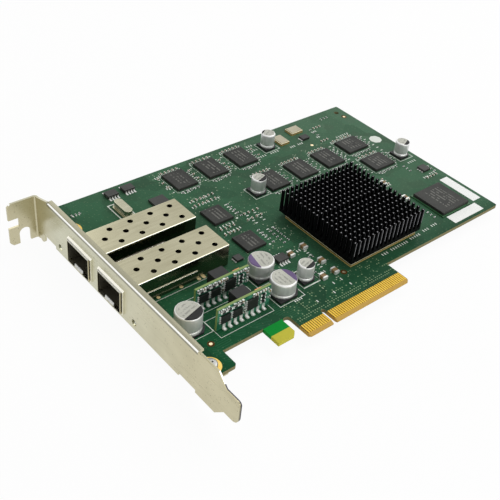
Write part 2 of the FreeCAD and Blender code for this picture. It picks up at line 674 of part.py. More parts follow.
def power_modules():
    straps = []
    for side, front in (("front", MODULE_FRONT), ("rear", MODULE_FRONT + MODULE_STEP)):
        back = front + MODULE_T
        middle = MODULE_START + MODULE_LONG / 2
        size = (MODULE_LONG, MODULE_T, MODULE_HIGH)
        export(side + "_module_board", block(middle, front + MODULE_T / 2, size))
        pins = []
        first = middle - (MODULE_PIN_COUNT - 1) / 2 * MODULE_PIN_PITCH
        for i in range(MODULE_PIN_COUNT):
            along = first + i * MODULE_PIN_PITCH
            size = (MODULE_PIN_WIDE, MODULE_PIN_T, MODULE_PIN_HIGH)
            leg = block(along, front - MODULE_PIN_T / 2, size)
            size = (MODULE_PIN_WIDE, MODULE_PIN_FOOT, MODULE_PIN_T)
            foot = block(along, front - MODULE_PIN_FOOT / 2, size)
            pins.append(leg.fuse(foot).removeSplitter())
        export(side + "_module_pins", *pins)
        # Chips on the module's face: one square driver, two transistors and rows of small parts
        parts = []
        room = MODULE_HIGH - MODULE_PIN_HIGH
        face = front - MODULE_CHIP_T / 2
        size = (room * 0.63, MODULE_CHIP_T, room * 0.63)
        parts.append(block(middle + MODULE_LONG * 0.14, face, size, MODULE_PIN_HIGH + room * 0.13))
        for off in (-0.36, -0.14):
            size = (MODULE_LONG * 0.17, MODULE_CHIP_T, room * 0.45)
            parts.append(block(middle + MODULE_LONG * off, face, size, MODULE_PIN_HIGH + room * 0.12))
        face = front - MODULE_PART_T / 2
        size = (MODULE_LONG * 0.06, MODULE_PART_T, room * 0.12)
        for i in range(4):
            off = -0.4 + i * 0.11
            parts.append(block(middle + MODULE_LONG * off, face, size, MODULE_PIN_HIGH + room * 0.7))
        for i in range(3):
            up = MODULE_PIN_HIGH + room * (0.13 + i * 0.22)
            parts.append(block(middle + MODULE_LONG * 0.35, face, size, up))
        export(side + "_module_chips", *parts)
        size = (INDUCTOR_LONG, INDUCTOR_DEEP, INDUCTOR_HIGH)
        core = middle + INDUCTOR_SHIFT
        export(side + "_module_inductor", block(core, back + INDUCTOR_DEEP / 2, size, INDUCTOR_LIFT))
        strap_along = core + INDUCTOR_LONG / 2 + STRAP_GAP + STRAP_LONG / 2
        size = (STRAP_LONG, STRAP_T, STRAP_HIGH)
        low = MODULE_HIGH - STRAP_DROP - STRAP_HIGH
        straps.append(block(strap_along, back + STRAP_T / 2, size, low))
    export("inductor_straps", *straps)


def corner_rows():
    """Places across the board of the crystal and of the row above it, beside the far cage."""
    crystal = CRYSTAL_LONG / 2 + CRYSTAL_RIM
    room = BOARD_HEIGHT - CAGE_TOP_EDGE - 2 * crystal - OUTLINE_SPAN
    crystal_across = CAGE_TOP_EDGE + room * 0.605 + crystal
    row = crystal_across + crystal + room * 0.245 + OUTLINE_SPAN / 2
    return crystal_across, row


def outline_chips():
    row = corner_rows()[1]
    memory_edge = MEMORY_FIRST - MEMORY_WIDE / 2
    places = [(share(BOARD_NEAR, memory_edge, part), row) for part in (0.566, 0.703)]
    places.append((share(LANE_NEAR, SINK_NEAR, 0.26), SINK_ACROSS - OUTLINE_DROP))
    bodies = []
    leads = []
    middle = OUTLINE_LIFT + OUTLINE_T / 2
    for along, across in places:
        bodies.append(block(along, across, (OUTLINE_LONG, OUTLINE_WIDE, OUTLINE_T), OUTLINE_LIFT))
        for way in (1, -1):
            for i in range(4):
                x = along + (i - 1.5) * LEAD_PITCH - LEAD_WIDE / 2
                root = across + way * OUTLINE_WIDE / 2
                knee = root + way * LEAD_T
                toe = across + way * OUTLINE_SPAN / 2
                path = [(root, middle), (knee, middle), (knee, LEAD_T), (toe, LEAD_T), (toe, 0), (root, 0)]
                points = [spot(x, y, z) for y, z in path]
                face = Part.Face(Part.makePolygon(points + [points[0]]))
                leads.append(face.extrude(V(LEAD_WIDE, 0, 0)))
    export("outline_bodies", *bodies)
    export("outline_leads", *leads)


def clocks():
    memory_edge = MEMORY_FIRST - MEMORY_WIDE / 2
    place = spot(share(BOARD_NEAR, memory_edge, 0.531), corner_rows()[0])
    half = CRYSTAL_WIDE / 2 + CRYSTAL_RIM
    end = CRYSTAL_LONG / 2 + CRYSTAL_RIM
    clip = half * 0.6
    corners = [(-half, clip - end, 0), (clip - half, -end, 0), (half - clip, -end, 0), (half, clip - end, 0)]
    corners += [(half, end - clip, 0), (half - clip, end, 0), (clip - half, end, 0), (-half, end - clip, 0)]
    flange = prism(corners, CRYSTAL_RIM_T)
    flange.translate(place)
    export("crystal_base", flange)
    half = CRYSTAL_WIDE / 2
    end = CRYSTAL_LONG / 2
    turn = half * 0.98
    corners = [(-half, -end, turn), (half, -end, turn), (half, end, turn), (-half, end, turn)]
    can = prism(corners, CRYSTAL_HIGH - CRYSTAL_RIM_T)
    can.translate(place.add(V(0, 0, CRYSTAL_RIM_T)))
    export("crystal_can", can)
    across = BOARD_HEIGHT - OSCILLATOR_INSET
    size = (OSCILLATOR_LONG, OSCILLATOR_WIDE, OSCILLATOR_T)
    first = block(share(BOARD_NEAR, BOARD_FAR, 0.7887), across, size)
    size = (OSCILLATOR_WIDE, OSCILLATOR_LONG, OSCILLATOR_T)
    second = block(share(BOARD_NEAR, BOARD_FAR, 0.7205), across - OSCILLATOR_DROP, size)
    export("oscillators", first, second)


def small_chips():
    cans = can_places()
    memory_edge = MEMORY_FIRST - MEMORY_WIDE / 2
    room = BOARD_HEIGHT - CAGE_TOP_EDGE - SQUARE_CHIP_SIDE
    across = CAGE_TOP_EDGE + room * 0.31 + SQUARE_CHIP_SIDE / 2
    size = (SQUARE_CHIP_SIDE, SQUARE_CHIP_SIDE, SMALL_CHIP_T)
    parts = [block(share(BOARD_NEAR, memory_edge, 0.806), across, size)]
    size = (SMALL_CHIP_LONG, SMALL_CHIP_WIDE, SMALL_CHIP_T)
    parts.append(block(share(BOARD_NEAR, BOARD_FAR, 0.7893), BOARD_HEIGHT - SMALL_CHIP_DROP, size))
    size = (SMALL_CHIP_WIDE, SMALL_CHIP_WIDE, SMALL_CHIP_T)
    parts.append(block(CAGE_REAR + PORT_CHIP_GAP / 2, PORT_NEAR - SMALL_CHIP_SHIFT, size))
    size = (SMALL_CHIP_LONG, SMALL_CHIP_LONG, SMALL_CHIP_T)
    label_top = PROCESSOR_ACROSS + LABEL_RISE + LABEL_LONG / 2
    can_low = cans[6][1] - SMALL_CAN_R - CAN_BASE_RIM
    parts.append(block(cans[6][0], share(label_top, can_low, 0.48), size))
    export("small_chips", *parts)


def two_ended(along, across, long, wide, high):
    """Body and end caps of a small part that lies along Y."""
    cap = long * 0.24
    reach = (long - cap) / 2
    caps = [block(along, across + way * reach, (wide, cap, high)) for way in (1, -1)]
    return block(along, across, (wide, long - 2 * cap, high)), caps


def passives():
    terminals = []
    tan = []
    # Ceramic capacitors in the lanes on both sides of the controller
    column = share(LANE_NEAR, SINK_NEAR, 0.762)
    places = [(column, SINK_ACROSS - drop) for drop in CERAMIC_DROPS]
    places.append((share(LANE_NEAR, SINK_NEAR, 0.52), SINK_ACROSS - CERAMIC_DROPS[2]))
    places.append((share(LANE_NEAR, SINK_NEAR, 0.463), SINK_ACROSS - 2 * CERAMIC_DROPS[0]))
    column = share(SINK_FAR, PROCESSOR_ALONG - PROCESSOR_HALF, 0.8)
    places.append((column, SINK_ACROSS + CERAMIC_RISE))
    places.append((column, SINK_ACROSS - CERAMIC_DROPS[0]))
    for along, across in places:
        body, caps = two_ended(along, across, CERAMIC_LONG, CERAMIC_WIDE, CERAMIC_T)
        tan.append(body)
        terminals += caps
    export("chip_capacitors", *tan)
    export("chip_terminals", *terminals)


def labels():
    column = share(PROCESSOR_ALONG + PROCESSOR_HALF, BOARD_FAR, 0.57)
    tall = block(column, PROCESSOR_ACROSS + LABEL_RISE, (LABEL_WIDE, LABEL_LONG, LABEL_T))
    row = PROCESSOR_ACROSS - PROCESSOR_HALF - LABEL_GAP - LABEL_WIDE / 2
    wide = block(PROCESSOR_ALONG + 2 * LABEL_RISE, row, (LABEL_LONG, LABEL_WIDE, LABEL_T))
    export("labels", tall, wide)


os.makedirs("parts", exist_ok=True)
circuit_board()
edge_contacts()
bracket()
screws()
for side, across in PORTS.items():
    cage(side, across)
status_leds()
controller()
chips()
capacitors()
power_modules()
outline_chips()
clocks()
small_chips()
passives()
labels()
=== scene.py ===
# %% [markdown]
# # Dressing a network adapter card
# The CAD model already holds the board, the bracket, the two port cages, the heatsink
# and the larger parts, each at its true size and place. This lesson adds what makes the
# card look real: surface finishes, rounded cans, painted outlines and the many tiny
# parts. We load the model first, because every later piece is placed from it.

# %% Load the CAD model
import json
import math
import random
from functools import partialmethod
import bmesh
import bpy
from mathutils import Matrix, Vector


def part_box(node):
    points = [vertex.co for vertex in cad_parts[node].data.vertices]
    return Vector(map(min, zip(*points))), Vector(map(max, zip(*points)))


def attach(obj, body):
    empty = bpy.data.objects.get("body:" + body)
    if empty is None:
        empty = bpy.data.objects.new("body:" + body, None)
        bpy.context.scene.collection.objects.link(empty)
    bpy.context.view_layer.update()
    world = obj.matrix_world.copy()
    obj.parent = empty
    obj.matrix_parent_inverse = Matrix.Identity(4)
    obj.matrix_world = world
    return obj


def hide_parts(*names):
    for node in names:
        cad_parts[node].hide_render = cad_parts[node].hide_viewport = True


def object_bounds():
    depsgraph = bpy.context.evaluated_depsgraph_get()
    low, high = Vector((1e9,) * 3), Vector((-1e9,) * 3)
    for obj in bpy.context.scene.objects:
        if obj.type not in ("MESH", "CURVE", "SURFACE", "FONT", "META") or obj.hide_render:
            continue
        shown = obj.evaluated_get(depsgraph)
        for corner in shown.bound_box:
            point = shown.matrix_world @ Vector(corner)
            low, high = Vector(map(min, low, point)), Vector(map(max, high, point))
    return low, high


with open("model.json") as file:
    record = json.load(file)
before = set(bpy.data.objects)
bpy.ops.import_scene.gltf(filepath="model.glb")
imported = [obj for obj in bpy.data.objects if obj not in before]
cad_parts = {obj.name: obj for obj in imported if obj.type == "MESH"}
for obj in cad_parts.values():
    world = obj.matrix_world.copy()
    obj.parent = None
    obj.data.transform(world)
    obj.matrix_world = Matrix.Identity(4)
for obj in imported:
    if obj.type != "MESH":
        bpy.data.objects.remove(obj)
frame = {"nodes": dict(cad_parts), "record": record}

MM = 0.001
cad_box = [list(corner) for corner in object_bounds()]
bpy.ops.object.select_all(action="DESELECT")
print("CAD nodes:", len(frame["nodes"]))

# %% [markdown]
# ## Places on the board
# A card's drawing gives each part a place along the board from the bracket and a place
# across it from the edge contacts. We keep those two numbers, in millimetres, and turn
# them into a point of the scene in one small function, so that no later line has to
# know where the scene's origin is. A second one reads the same numbers off a node.

# %% Places on the board
BOARD_SET_BACK = 1.61
BOARD_LOW, BOARD_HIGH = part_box("circuit_board")
BRACKET_FACE = BOARD_LOW.x - BOARD_SET_BACK * MM


def spot(along, across, above=0.0):
    """A point over the component side, from millimetres along, across and above it."""
    return Vector((BRACKET_FACE + along * MM, across * MM, BOARD_HIGH.z + above * MM))


def reach(node):
    """Where a node starts along and across the board, then where it ends, in millimetres."""
    low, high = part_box(node)
    return (low.x - BRACKET_FACE) / MM, low.y / MM, (high.x - BRACKET_FACE) / MM, high.y / MM


print("board size in mm:", [round(side / MM, 2) for side in BOARD_HIGH - BOARD_LOW])

# %% [markdown]
# ## A small language for finishes
# A finish is a graph of shader nodes. Wiring nodes one by one is slow to read, so one
# class wraps a socket and lets Python's own operators add the Math nodes, and another
# makes any other node from its type, its settings and its inputs. A rule such as "tan
# where the surface faces sideways" then fits on one line. Colours are written as a
# picture shows them, from 0 to 255.

# %% Sockets and finishes
class Reading:
    """A node's output that can be added, multiplied and compared."""

    def __init__(self, finish, socket):
        self.finish = finish
        self.socket = socket

    def math(self, operation, *others):
        inputs = dict(enumerate((self, *others)))
        return self.finish.node("ShaderNodeMath", {"operation": operation}, inputs)

    def __rsub__(self, other):
        return (self * -1.0) + other

    def ramp(self, low, high):
        """0 at low, 1 at high and straight between them."""
        ends = {"Value": self, "From Min": low, "From Max": high}
        return self.finish.node("ShaderNodeMapRange", {}, ends)


OPERATORS = {
    "add": "ADD", "radd": "ADD", "mul": "MULTIPLY", "rmul": "MULTIPLY", "sub": "SUBTRACT",
    "truediv": "DIVIDE", "abs": "ABSOLUTE", "gt": "GREATER_THAN", "lt": "LESS_THAN",
}
for name, operation in OPERATORS.items():
    setattr(Reading, "__%s__" % name, partialmethod(Reading.math, operation))


def paint(red, green, blue):
    """A colour as a picture shows it turned into the linear one that a shader takes."""
    linear = []
    for part in (red / 255, green / 255, blue / 255):
        linear.append(part / 12.92 if part <= 0.04045 else ((part + 0.055) / 1.055) ** 2.4)
    return (*linear, 1.0)


def squares(first, second):
    return first * first + second * second


class Finish:
    """A material, or the world's sky: one shader and the nodes that feed it."""

    def __init__(self, name, sky=False, **values):
        store, shader = (bpy.data.worlds, "Background") if sky else (bpy.data.materials, "Principled BSDF")
        self.made = store.new(name)
        self.made.use_nodes = True
        self.tree = self.made.node_tree
        self.shader = self.tree.nodes[shader]
        self.set(**values)

    def set(self, **values):
        """Sets or links the shader's sockets; base_color stands for Base Color."""
        names = {"specular_ior_level": "Specular IOR Level"}
        for name, value in values.items():
            self.feed(self.shader.inputs[names.get(name, name.replace("_", " ").title())], value)

    def feed(self, socket, value):
        if isinstance(value, Reading):
            self.tree.links.new(value.socket, socket)
        else:
            socket.default_value = value

    def node(self, kind, settings, inputs, out=0):
        """Any node: its type, its settings, then its sockets' values or links."""
        made = self.tree.nodes.new(kind)
        for name, value in settings.items():
            setattr(made, name, value)
        for name, value in inputs.items():
            self.feed(made.inputs[name], value)
        return Reading(self, made.outputs[out])

    def split(self, vector):
        return [self.node("ShaderNodeSeparateXYZ", {}, {0: vector}, axis) for axis in "XYZ"]

    def place(self, stretch=None):
        place = self.node("ShaderNodeTexCoord", {}, {}, "Object")
        if stretch is None:
            return place
        return self.node("ShaderNodeMapping", {}, {"Vector": place, "Scale": stretch})

    def axes(self):
        """The point's own x, y and z in metres."""
        return self.split(self.place())

    def facing(self):
        """The x, y and z of the way the surface faces."""
        return self.split(self.node("ShaderNodeNewGeometry", {}, {}, "Normal"))

    def seen(self):
        """1 for what the camera sees, straight, mirrored or through glass, else 0."""
        rays = ("Is Camera Ray", "Is Glossy Ray", "Is Transmission Ray")
        hits = [self.node("ShaderNodeLightPath", {}, {}, ray) for ray in rays]
        return hits[0].math("MAXIMUM", hits[1]).math("MAXIMUM", hits[2])

    def cloud(self, size, detail=2.0, stretch=None):
        """Soft noise with patches of about size millimetres."""
        inputs = {"Vector": self.place(stretch), "Scale": 1.0 / (size * MM), "Detail": detail}
        return self.node("ShaderNodeTexNoise", {}, inputs)

    def cells(self, size, out, square=False, disorder=1.0, stretch=None, flat=True):
        """Cells of about size millimetres, flat or in space: their distance or colours."""
        settings = {"voronoi_dimensions": "2D" if flat else "3D"}
        settings["distance"] = "CHEBYCHEV" if square else "EUCLIDEAN"
        inputs = {"Vector": self.place(stretch), "Scale": 1.0 / (size * MM), "Randomness": disorder}
        return self.node("ShaderNodeTexVoronoi", settings, inputs, out)

    def draw(self, size, *shape, **more):
        """One number from 0 to 1 for each cell of the shape that cells takes."""
        return self.split(self.cells(size, "Color", *shape, **more))[0]

    def mottle(self, fine, slow, share, spread):
        """Two noises mixed, with the spread either side of their middle drawn out to 0 and 1."""
        return (fine * share + slow * (1.0 - share)).ramp(0.5 - spread, 0.5 + spread)

    def blend(self, mask, first, second):
        """The first colour where the mask is 0 and the second where it is 1."""
        ends = [end if isinstance(end, Reading) else paint(*end) for end in (first, second)]
        return self.node("ShaderNodeMix", {"data_type": "RGBA"}, {0: mask, 6: ends[0], 7: ends[1]}, 2)

    def layers(self, tone, *coats):
        """A tone with coats laid over it in turn, each a mask and a colour."""
        for mask, colour in coats:
            tone = self.blend(mask, tone, colour)
        return tone

    def done(self, tone, rough, height, depth):
        """Links colour, roughness and a height from 0 to 1 that stands for depth millimetres."""
        bump = {"Height": height, "Strength": 1.0, "Distance": depth * MM}
        self.set(base_color=tone, roughness=rough, normal=self.node("ShaderNodeBump", {}, bump))
        return self.made


print("a test colour:", [round(part, 3) for part in paint(68, 105, 75)])

# %% [markdown]
# ## Camera, floor and light
# The camera stands where the picture was taken from: high over the card's near corner,
# with the bracket on the left. The floor is a pale sheet that shows white to the camera
# and to shiny parts but still takes the card's shadow. Four soft lamps stand behind, on
# the right, on the left and in front, and an even white sky fills in, at a level at which
# a colour renders about as it is written.

# %% Camera
bpy.ops.object.camera_add(location=[part * MM for part in (-170.59, -128.32, 196.61)])
camera = bpy.context.active_object
camera.rotation_euler = [math.radians(turn) for turn in (51.182, -5.227, -40.003)]
camera.data.sensor_width = 36.0
camera.data.lens = 58.92
camera.data.clip_start = 0.01
bpy.context.scene.camera = camera
bpy.context.scene.view_settings.view_transform = "Standard"
print("camera lens:", camera.data.lens)

# %% Floor
FLOOR_GAP, FLOOR_GLOW, WHITE = 0.02, 0.945, (1.0, 1.0, 1.0, 1.0)
bpy.ops.mesh.primitive_plane_add(size=6.0, location=(0.0, 0.0, cad_box[0][2] - FLOOR_GAP * MM))
floor = bpy.context.active_object
floor.name = "floor"
pale = Finish("floor_pale", base_color=paint(250, 250, 249), roughness=0.9)
glow = pale.node("ShaderNodeEmission", {}, {"Color": WHITE, "Strength": 1.0})
lit = Reading(pale, pale.shader.outputs[0])
sheet = pale.node("ShaderNodeMixShader", {}, {0: pale.seen() * FLOOR_GLOW, 1: lit, 2: glow})
pale.feed(pale.tree.nodes["Material Output"].inputs["Surface"], sheet)
floor.data.materials.append(pale.made)
print("floor at", round(floor.location.z / MM, 2), "mm")

# %% Light
SKY_FILL, LIT_POINT = 0.17, Vector((0.02, 0.05, 0.0))
LAMPS = {
    "back_lamp": ((0.02, 0.78, 0.280), 0.60, 1.1), "right_lamp": ((0.42, 0.06, 0.630), 0.70, 3.5),
    "left_lamp": ((-0.50, 0.06, 0.560), 0.50, 0.7), "front_lamp": ((0.06, -0.62, 0.160), 0.80, 2.7),
}
sky = Finish("studio", sky=True, color=WHITE)
sky.set(strength=sky.seen() * (1.0 - SKY_FILL) + SKY_FILL)
bpy.context.scene.world = sky.made
for name, (place, size, power) in LAMPS.items():
    bpy.ops.object.light_add(type="AREA", location=place)
    lamp = bpy.context.active_object
    lamp.name = name
    lamp.data.size = size
    lamp.data.energy = power
    lamp.rotation_euler = (LIT_POINT - lamp.location).to_track_quat("-Z", "Y").to_euler()
print("lamps:", list(LAMPS))

# %% [markdown]
# ## The board's finish
# A board is glass cloth under green lacquer. Copper areas under the lacquer show as
# lighter and darker patches with straight edges, fine tracks run in bundles, plated holes
# dot the whole face, and bare pads crowd round the chips. The cut edge is tan laminate,
# and the strip under the gold contacts is bare too. All of this is a pattern on the board's
# own coordinates, because modelling thousands of tracks would cost far more than it shows.

# %% Board finish
FINGER_LINE, TAB_BARE = 5.6, 7.4
GREEN_TAB = (34.6, -1.0, 43.4, 11.7)
BUSY = [
    (54.0, 92.0, 108.0, 109.5), (84.0, 76.0, 138.0, 90.0), (55.0, 42.0, 82.0, 88.0),
    (60.0, 15.0, 82.0, 46.0),
]
TARGETS = [(15.7, 16.4), (164.8, 101.6), (80.1, 17.5)]


def board_finish():
    finish = Finish("solder_mask", specular_ior_level=0.05)
    x, y, _ = finish.axes()
    along, across = (x - BRACKET_FACE) / MM, y / MM

    def inside(near, low_side, far, high_side):
        return (along > near) * (along < far) * (across > low_side) * (across < high_side)

    def stripes(place, pitch):
        return (place * (2 * math.pi / (pitch * MM))).math("SINE") > 0.3

    patch = finish.draw(11.0, True).ramp(0.2, 0.8)
    bundle = finish.draw(5.0, True)
    tracks = stripes(x + y, 1.1) * (bundle > 0.70) + stripes(y, 0.9) * (bundle < 0.28)
    # painted sheen: the green is painted paler towards the board's far corner, where the lacquer catches
    # the sky at a grazing angle
    pale = (along * 0.0044 + across * 0.0042 - 0.1).ramp(0.0, 1.0)
    far_sheen = finish.blend(patch, (73, 97, 77), (85, 112, 90))
    # painted shade: the strip in front of the heatsink, near the contacts, is painted darker green
    front = (1.0 - across.ramp(13.0, 21.0)) * along.ramp(52.0, 66.0)
    hole = (finish.cells(2.4, "Distance") < 0.10) * 0.12
    chance = finish.draw(1.05, False, 0.1)
    dense, sparse = inside(46.0, 6.6, 98.0, 8.7), inside(46.0, 8.7, 98.0, 17.0)
    fan_out = (chance > 0.2) * dense + (chance > 0.74) * sparse
    fan_out = fan_out * (finish.cells(1.05, "Distance", False, 0.1) < 0.26) * 0.6
    busy = inside(*BUSY[0])
    for zone in BUSY[1:]:
        busy = busy.math("MAXIMUM", inside(*zone))
    speck = (finish.cells(0.95, "Distance", True) < 0.25) * (finish.draw(0.95, True) > 0.86)
    rings = [(squares(along - at[0], across - at[1]) < 1.7, (84, 54, 22)) for at in TARGETS]
    bare = (across < FINGER_LINE) * (along > GREEN_TAB[2])
    tab = inside(*GREEN_TAB)
    weave = finish.cloud(0.5, 3.0)
    tan = finish.blend(weave, (118, 112, 80), (154, 146, 110))
    tan = finish.blend(bare, tan, (204, 166, 88))
    edge = abs(finish.facing()[2]) < 0.97
    edge = edge.math("MAXIMUM", (across < 1.3) * bare) * (1.0 - tab)
    shade = finish.layers(
        finish.blend(patch, (10, 60, 34), (18, 84, 48)), (pale, far_sheen), (tracks * 0.4, (58, 116, 82)),
        (finish.cloud(30.0) * 0.3, (40, 98, 70)), (front * 0.55, (12, 60, 36)),
        (hole.math("MAXIMUM", fan_out), (164, 190, 146)),
        (speck * (finish.cloud(5.0) > 0.48) * busy * 0.7, (184, 198, 172)), *rings,
        (bare, (98, 68, 20)), (tab, (12, 144, 52)), (tab * (across < TAB_BARE), (206, 199, 72)),
        (edge, tan))
    return finish.done(shade, 0.36 + weave * 0.12 + edge * 0.4, tracks * 0.6 + patch * 0.4, 0.02)


mask_green = board_finish()
print("board nodes:", len(mask_green.node_tree.nodes))

# %% [markdown]
# ## Metal finishes
# The bracket and the cages are plated steel sheet, a slightly warm grey with a fine grain
# along the rolling direction. Gold contacts, copper straps, tinned leads and stamped lids
# share the same recipe with other colours. One function makes them all: the grain is
# stretched noise that moves the colour and the roughness a little.

# %% Metal finishes
def metal(name, dark, light, rough, grain=1.2, stretch=None, pure=1.0):
    finish = Finish(name, metallic=pure)
    streak = finish.cloud(grain, 3.0, stretch)
    tone = finish.blend(finish.mottle(streak, finish.cloud(14.0), 0.5, 0.25), dark, light)
    return finish.done(tone, rough + streak * 0.10, streak, 0.003)


screw_steel = metal("screw_steel", (134, 134, 132), (166, 166, 161), 0.30)
gold = metal("contact_gold", (156, 124, 36), (174, 146, 62), 0.26)
pad_gold = metal("pad_gold", (188, 156, 78), (208, 180, 104), 0.28)
copper = metal("strap_copper", (184, 112, 78), (216, 146, 108), 0.30)
bare_pad = metal("bare_pad", (232, 208, 160), (250, 236, 204), 0.30)
tin = metal("solder_tin", (218, 220, 215), (246, 246, 242), 0.24, pure=0.3)
wet_tin = metal("wet_tin", (240, 240, 236), (252, 252, 250), 0.30, pure=0.1)
crystal_steel = metal("crystal_steel", (158, 156, 134), (180, 178, 156), 0.20, 1.0, (0.1, 1.0, 1.0))
frame_nickel = metal("frame_nickel", (230, 226, 208), (250, 248, 238), 0.20)
lid_metal = metal("lid_metal", (150, 150, 146), (180, 180, 176), 0.35)
print("metals:", [m.name for m in (screw_steel, gold, copper, tin)])

# %% [markdown]
# ## Painted light on the sheet metal
# The bracket's long fold carries a dark line of painted shade next to the face and a white
# painted highlight above it, and the up-facing flange beyond it is painted a shade darker.
# The bracket's lower end has dark cut edges. On the cages the folded edges, the low faces
# that face up and the collars in front of the bracket get a painted white highlight, while
# the walls that face the gap behind the bracket and the inside of each cage get painted
# shade. The finishes find these places from where a point lies and which way the surface
# faces there.

# %% Bracket finish
def bracket_finish():
    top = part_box("bracket")[1].z
    finish = Finish("bracket_nickel", metallic=1.0)
    x, y, z = finish.axes()
    nx, _, nz = finish.facing()
    streak = finish.cloud(1.0, 3.0, (1.0, 0.08, 1.0))
    grain = finish.mottle(streak, finish.cloud(11.0, 3.0), 0.4, 0.25)
    warm = finish.blend(grain, (182, 175, 143), (206, 199, 167))
    cool = finish.blend(grain, (186, 185, 160), (208, 207, 184))
    pit = (finish.cells(1.4, "Distance", flat=False) < 0.16) * (finish.cloud(16.0) > 0.5)
    rim = (abs(nx) < 0.7) * (y < 3.9 * MM)
    outer = rim * (x < BRACKET_FACE + 0.42 * MM)
    upper = (z > top - 3.0 * MM) * (nx < 0.3) * (1.0 - outer)
    tone = finish.layers(
        warm, ((y / MM).ramp(5.0, 60.0), cool), ((y / MM).ramp(90.0, 106.0) * 0.6, (186, 174, 136)),
        (pit * 0.5, (126, 120, 96)), (rim * (1.0 - upper), (70, 69, 72)), (outer, (146, 140, 114)),
        # painted light on the fold: a dark line of painted shade next to the face, a white painted
        # highlight above it, and the up-facing flange painted a shade darker
        (upper * (nz > 0.06) * (nz < 0.47) * 0.75, (128, 127, 117)),
        (upper * (nz > 0.47) * (nz < 0.77), (250, 250, 246)), (upper * (nz > 0.77), (152, 149, 128)))
    return finish.done(tone, 0.24 + streak * 0.1, streak + pit, 0.003)


bracket_nickel = bracket_finish()
print("bracket finish:", bracket_nickel.name)

# %% Cage finish
def cage_finish():
    near_low, near_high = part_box("near_cage_cover")
    far_low, far_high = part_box("far_cage_cover")
    between = (near_low.y + far_high.y) / 2
    pitch = far_low.y - near_low.y
    half = (near_high.y - near_low.y) / 2
    finish = Finish("cage_nickel")
    x, y, z = finish.axes()
    _, ny, nz = finish.facing()
    from_middle = abs(abs(y - between) - pitch / 2)
    # painted shade: the inside of each cage is painted a darker, rougher grey
    inside = (from_middle < half - 0.15 * MM) * (z < near_high.z - 0.15 * MM)
    tongue = (x < BRACKET_FACE + 0.1 * MM) * (z < BOARD_HIGH.z + 0.9 * MM)
    inside = inside * (x > near_low.x + 0.5 * MM) * (1.0 - tongue)
    streak = finish.cloud(1.0, 3.0, (0.08, 1.0, 1.0))
    grain = finish.mottle(streak, finish.cloud(14.0), 0.5, 0.25)
    # painted highlight: the folded upper edges and the low up-facing faces are painted white
    fold = (ny < -0.25) * (nz > 0.25) * (nz < 0.8) * (from_middle > half - 0.6 * MM)
    fold = fold + (nz > 0.7) * (z < near_high.z - 1.0 * MM)
    out = (BRACKET_FACE - x) / MM
    # painted shade: the walls that face the gap behind the bracket are painted dark, the far cage's nearly
    # black
    shaded_gap_wall = (ny < -0.7) * (z < near_high.z - 0.8 * MM) * (out < 0.0)
    # painted highlight: the collars' tops in front of the bracket are painted white and less metallic
    top = (out > 0.0) * (nz > 0.3) * (z > near_high.z - 1.0 * MM)
    outer = (y < near_low.y + 0.1 * MM) + (abs(y - far_low.y) < 0.45 * MM)
    flank = (out > 0.0) * (ny < -0.3) * outer
    tone = finish.layers(
        finish.blend(grain, (164, 159, 132), (186, 182, 156)),
        (fold.math("MINIMUM", 1.0), (250, 250, 246)), (shaded_gap_wall * 0.5, (84, 80, 68)),
        (shaded_gap_wall * (y > between) * 0.7, (46, 34, 34)), (top, (246, 246, 245)), (flank, (196, 188, 160)),
        (inside, (112, 108, 94)))
    finish.set(metallic=1.0 - top * 0.8)
    return finish.done(tone, 0.15 + streak * 0.1 + (inside + top) * 0.3, streak, 0.002)


cage_nickel = cage_finish()
print("cage finish:", cage_nickel.name)

# %% [markdown]
# ## Plastic, ceramic and paper finishes
# Chips are moulded from black resin full of glass powder, which makes their tops a
# slightly sparkling dark grey. Bases and connectors are smoother black plastic, laminate
# bodies are tan, and labels are white paper. They share one recipe too: a fine speckle
# and a slow cloud over two colours, with a small bump.

# %% Plastic, ceramic and paper finishes
def moulded(name, dark, light, rough, speckle=0.25):
    finish = Finish(name, specular_ior_level=0.35)
    fine = finish.cloud(speckle, 4.0)
    tone = finish.blend(finish.mottle(fine, finish.cloud(6.0, 1.0), 0.6, 0.18), dark, light)
    return finish.done(tone, rough + fine * 0.12, fine, 0.006)


chip_black = moulded("chip_resin", (30, 31, 29), (56, 57, 53), 0.46, 0.45)
connector_black = moulded("connector_plastic", (18, 18, 19), (34, 34, 34), 0.40)
base_black = moulded("can_base_plastic", (16, 16, 18), (30, 30, 32), 0.42)
ferrite = moulded("inductor_ferrite", (14, 15, 14), (32, 33, 31), 0.55)
substrate_green = moulded("substrate_lacquer", (40, 84, 50), (58, 104, 66), 0.40)
pad_grey = moulded("thermal_pad", (120, 122, 126), (146, 148, 150), 0.75)
ceramic_tan = moulded("capacitor_ceramic", (112, 90, 54), (150, 122, 80), 0.36)
lid_cream = moulded("clock_lid", (178, 171, 146), (202, 195, 170), 0.30)
resistor_black = moulded("resistor_glaze", (26, 28, 28), (44, 46, 44), 0.34)
paper = moulded("label_paper", (248, 251, 247), (255, 255, 253), 0.60)
ink_white = moulded("outline_ink", (220, 226, 216), (240, 244, 236), 0.55)
module_black = moulded("module_chip_resin", (18, 20, 20), (40, 42, 40), 0.36)
lamp_clear = moulded("indicator_lens", (222, 226, 214), (240, 242, 232), 0.20)
print("finishes so far:", len(bpy.data.materials))

# %% [markdown]
# ## Finishes of the heatsink, its package and the modules
# The heatsink is black anodised aluminium, its pins sawn from one block. The finish paints
# a grey highlight in the middle of each flat top, one dot per pin from the pins' own
# spacing, and a painted glint along one edge of the pins' sides, strongest on the outermost row.
# The package below is pressed from layers: a dark band shows along its side, under a painted
# highlight along its upper edge. A power module is a small green board that stands on edge:
# its faces are dark, its cut edges pale.

# %% Heatsink finish
PINS, PIN_SIDE, ROW_SHIFT = 17, 1.0, 0.6


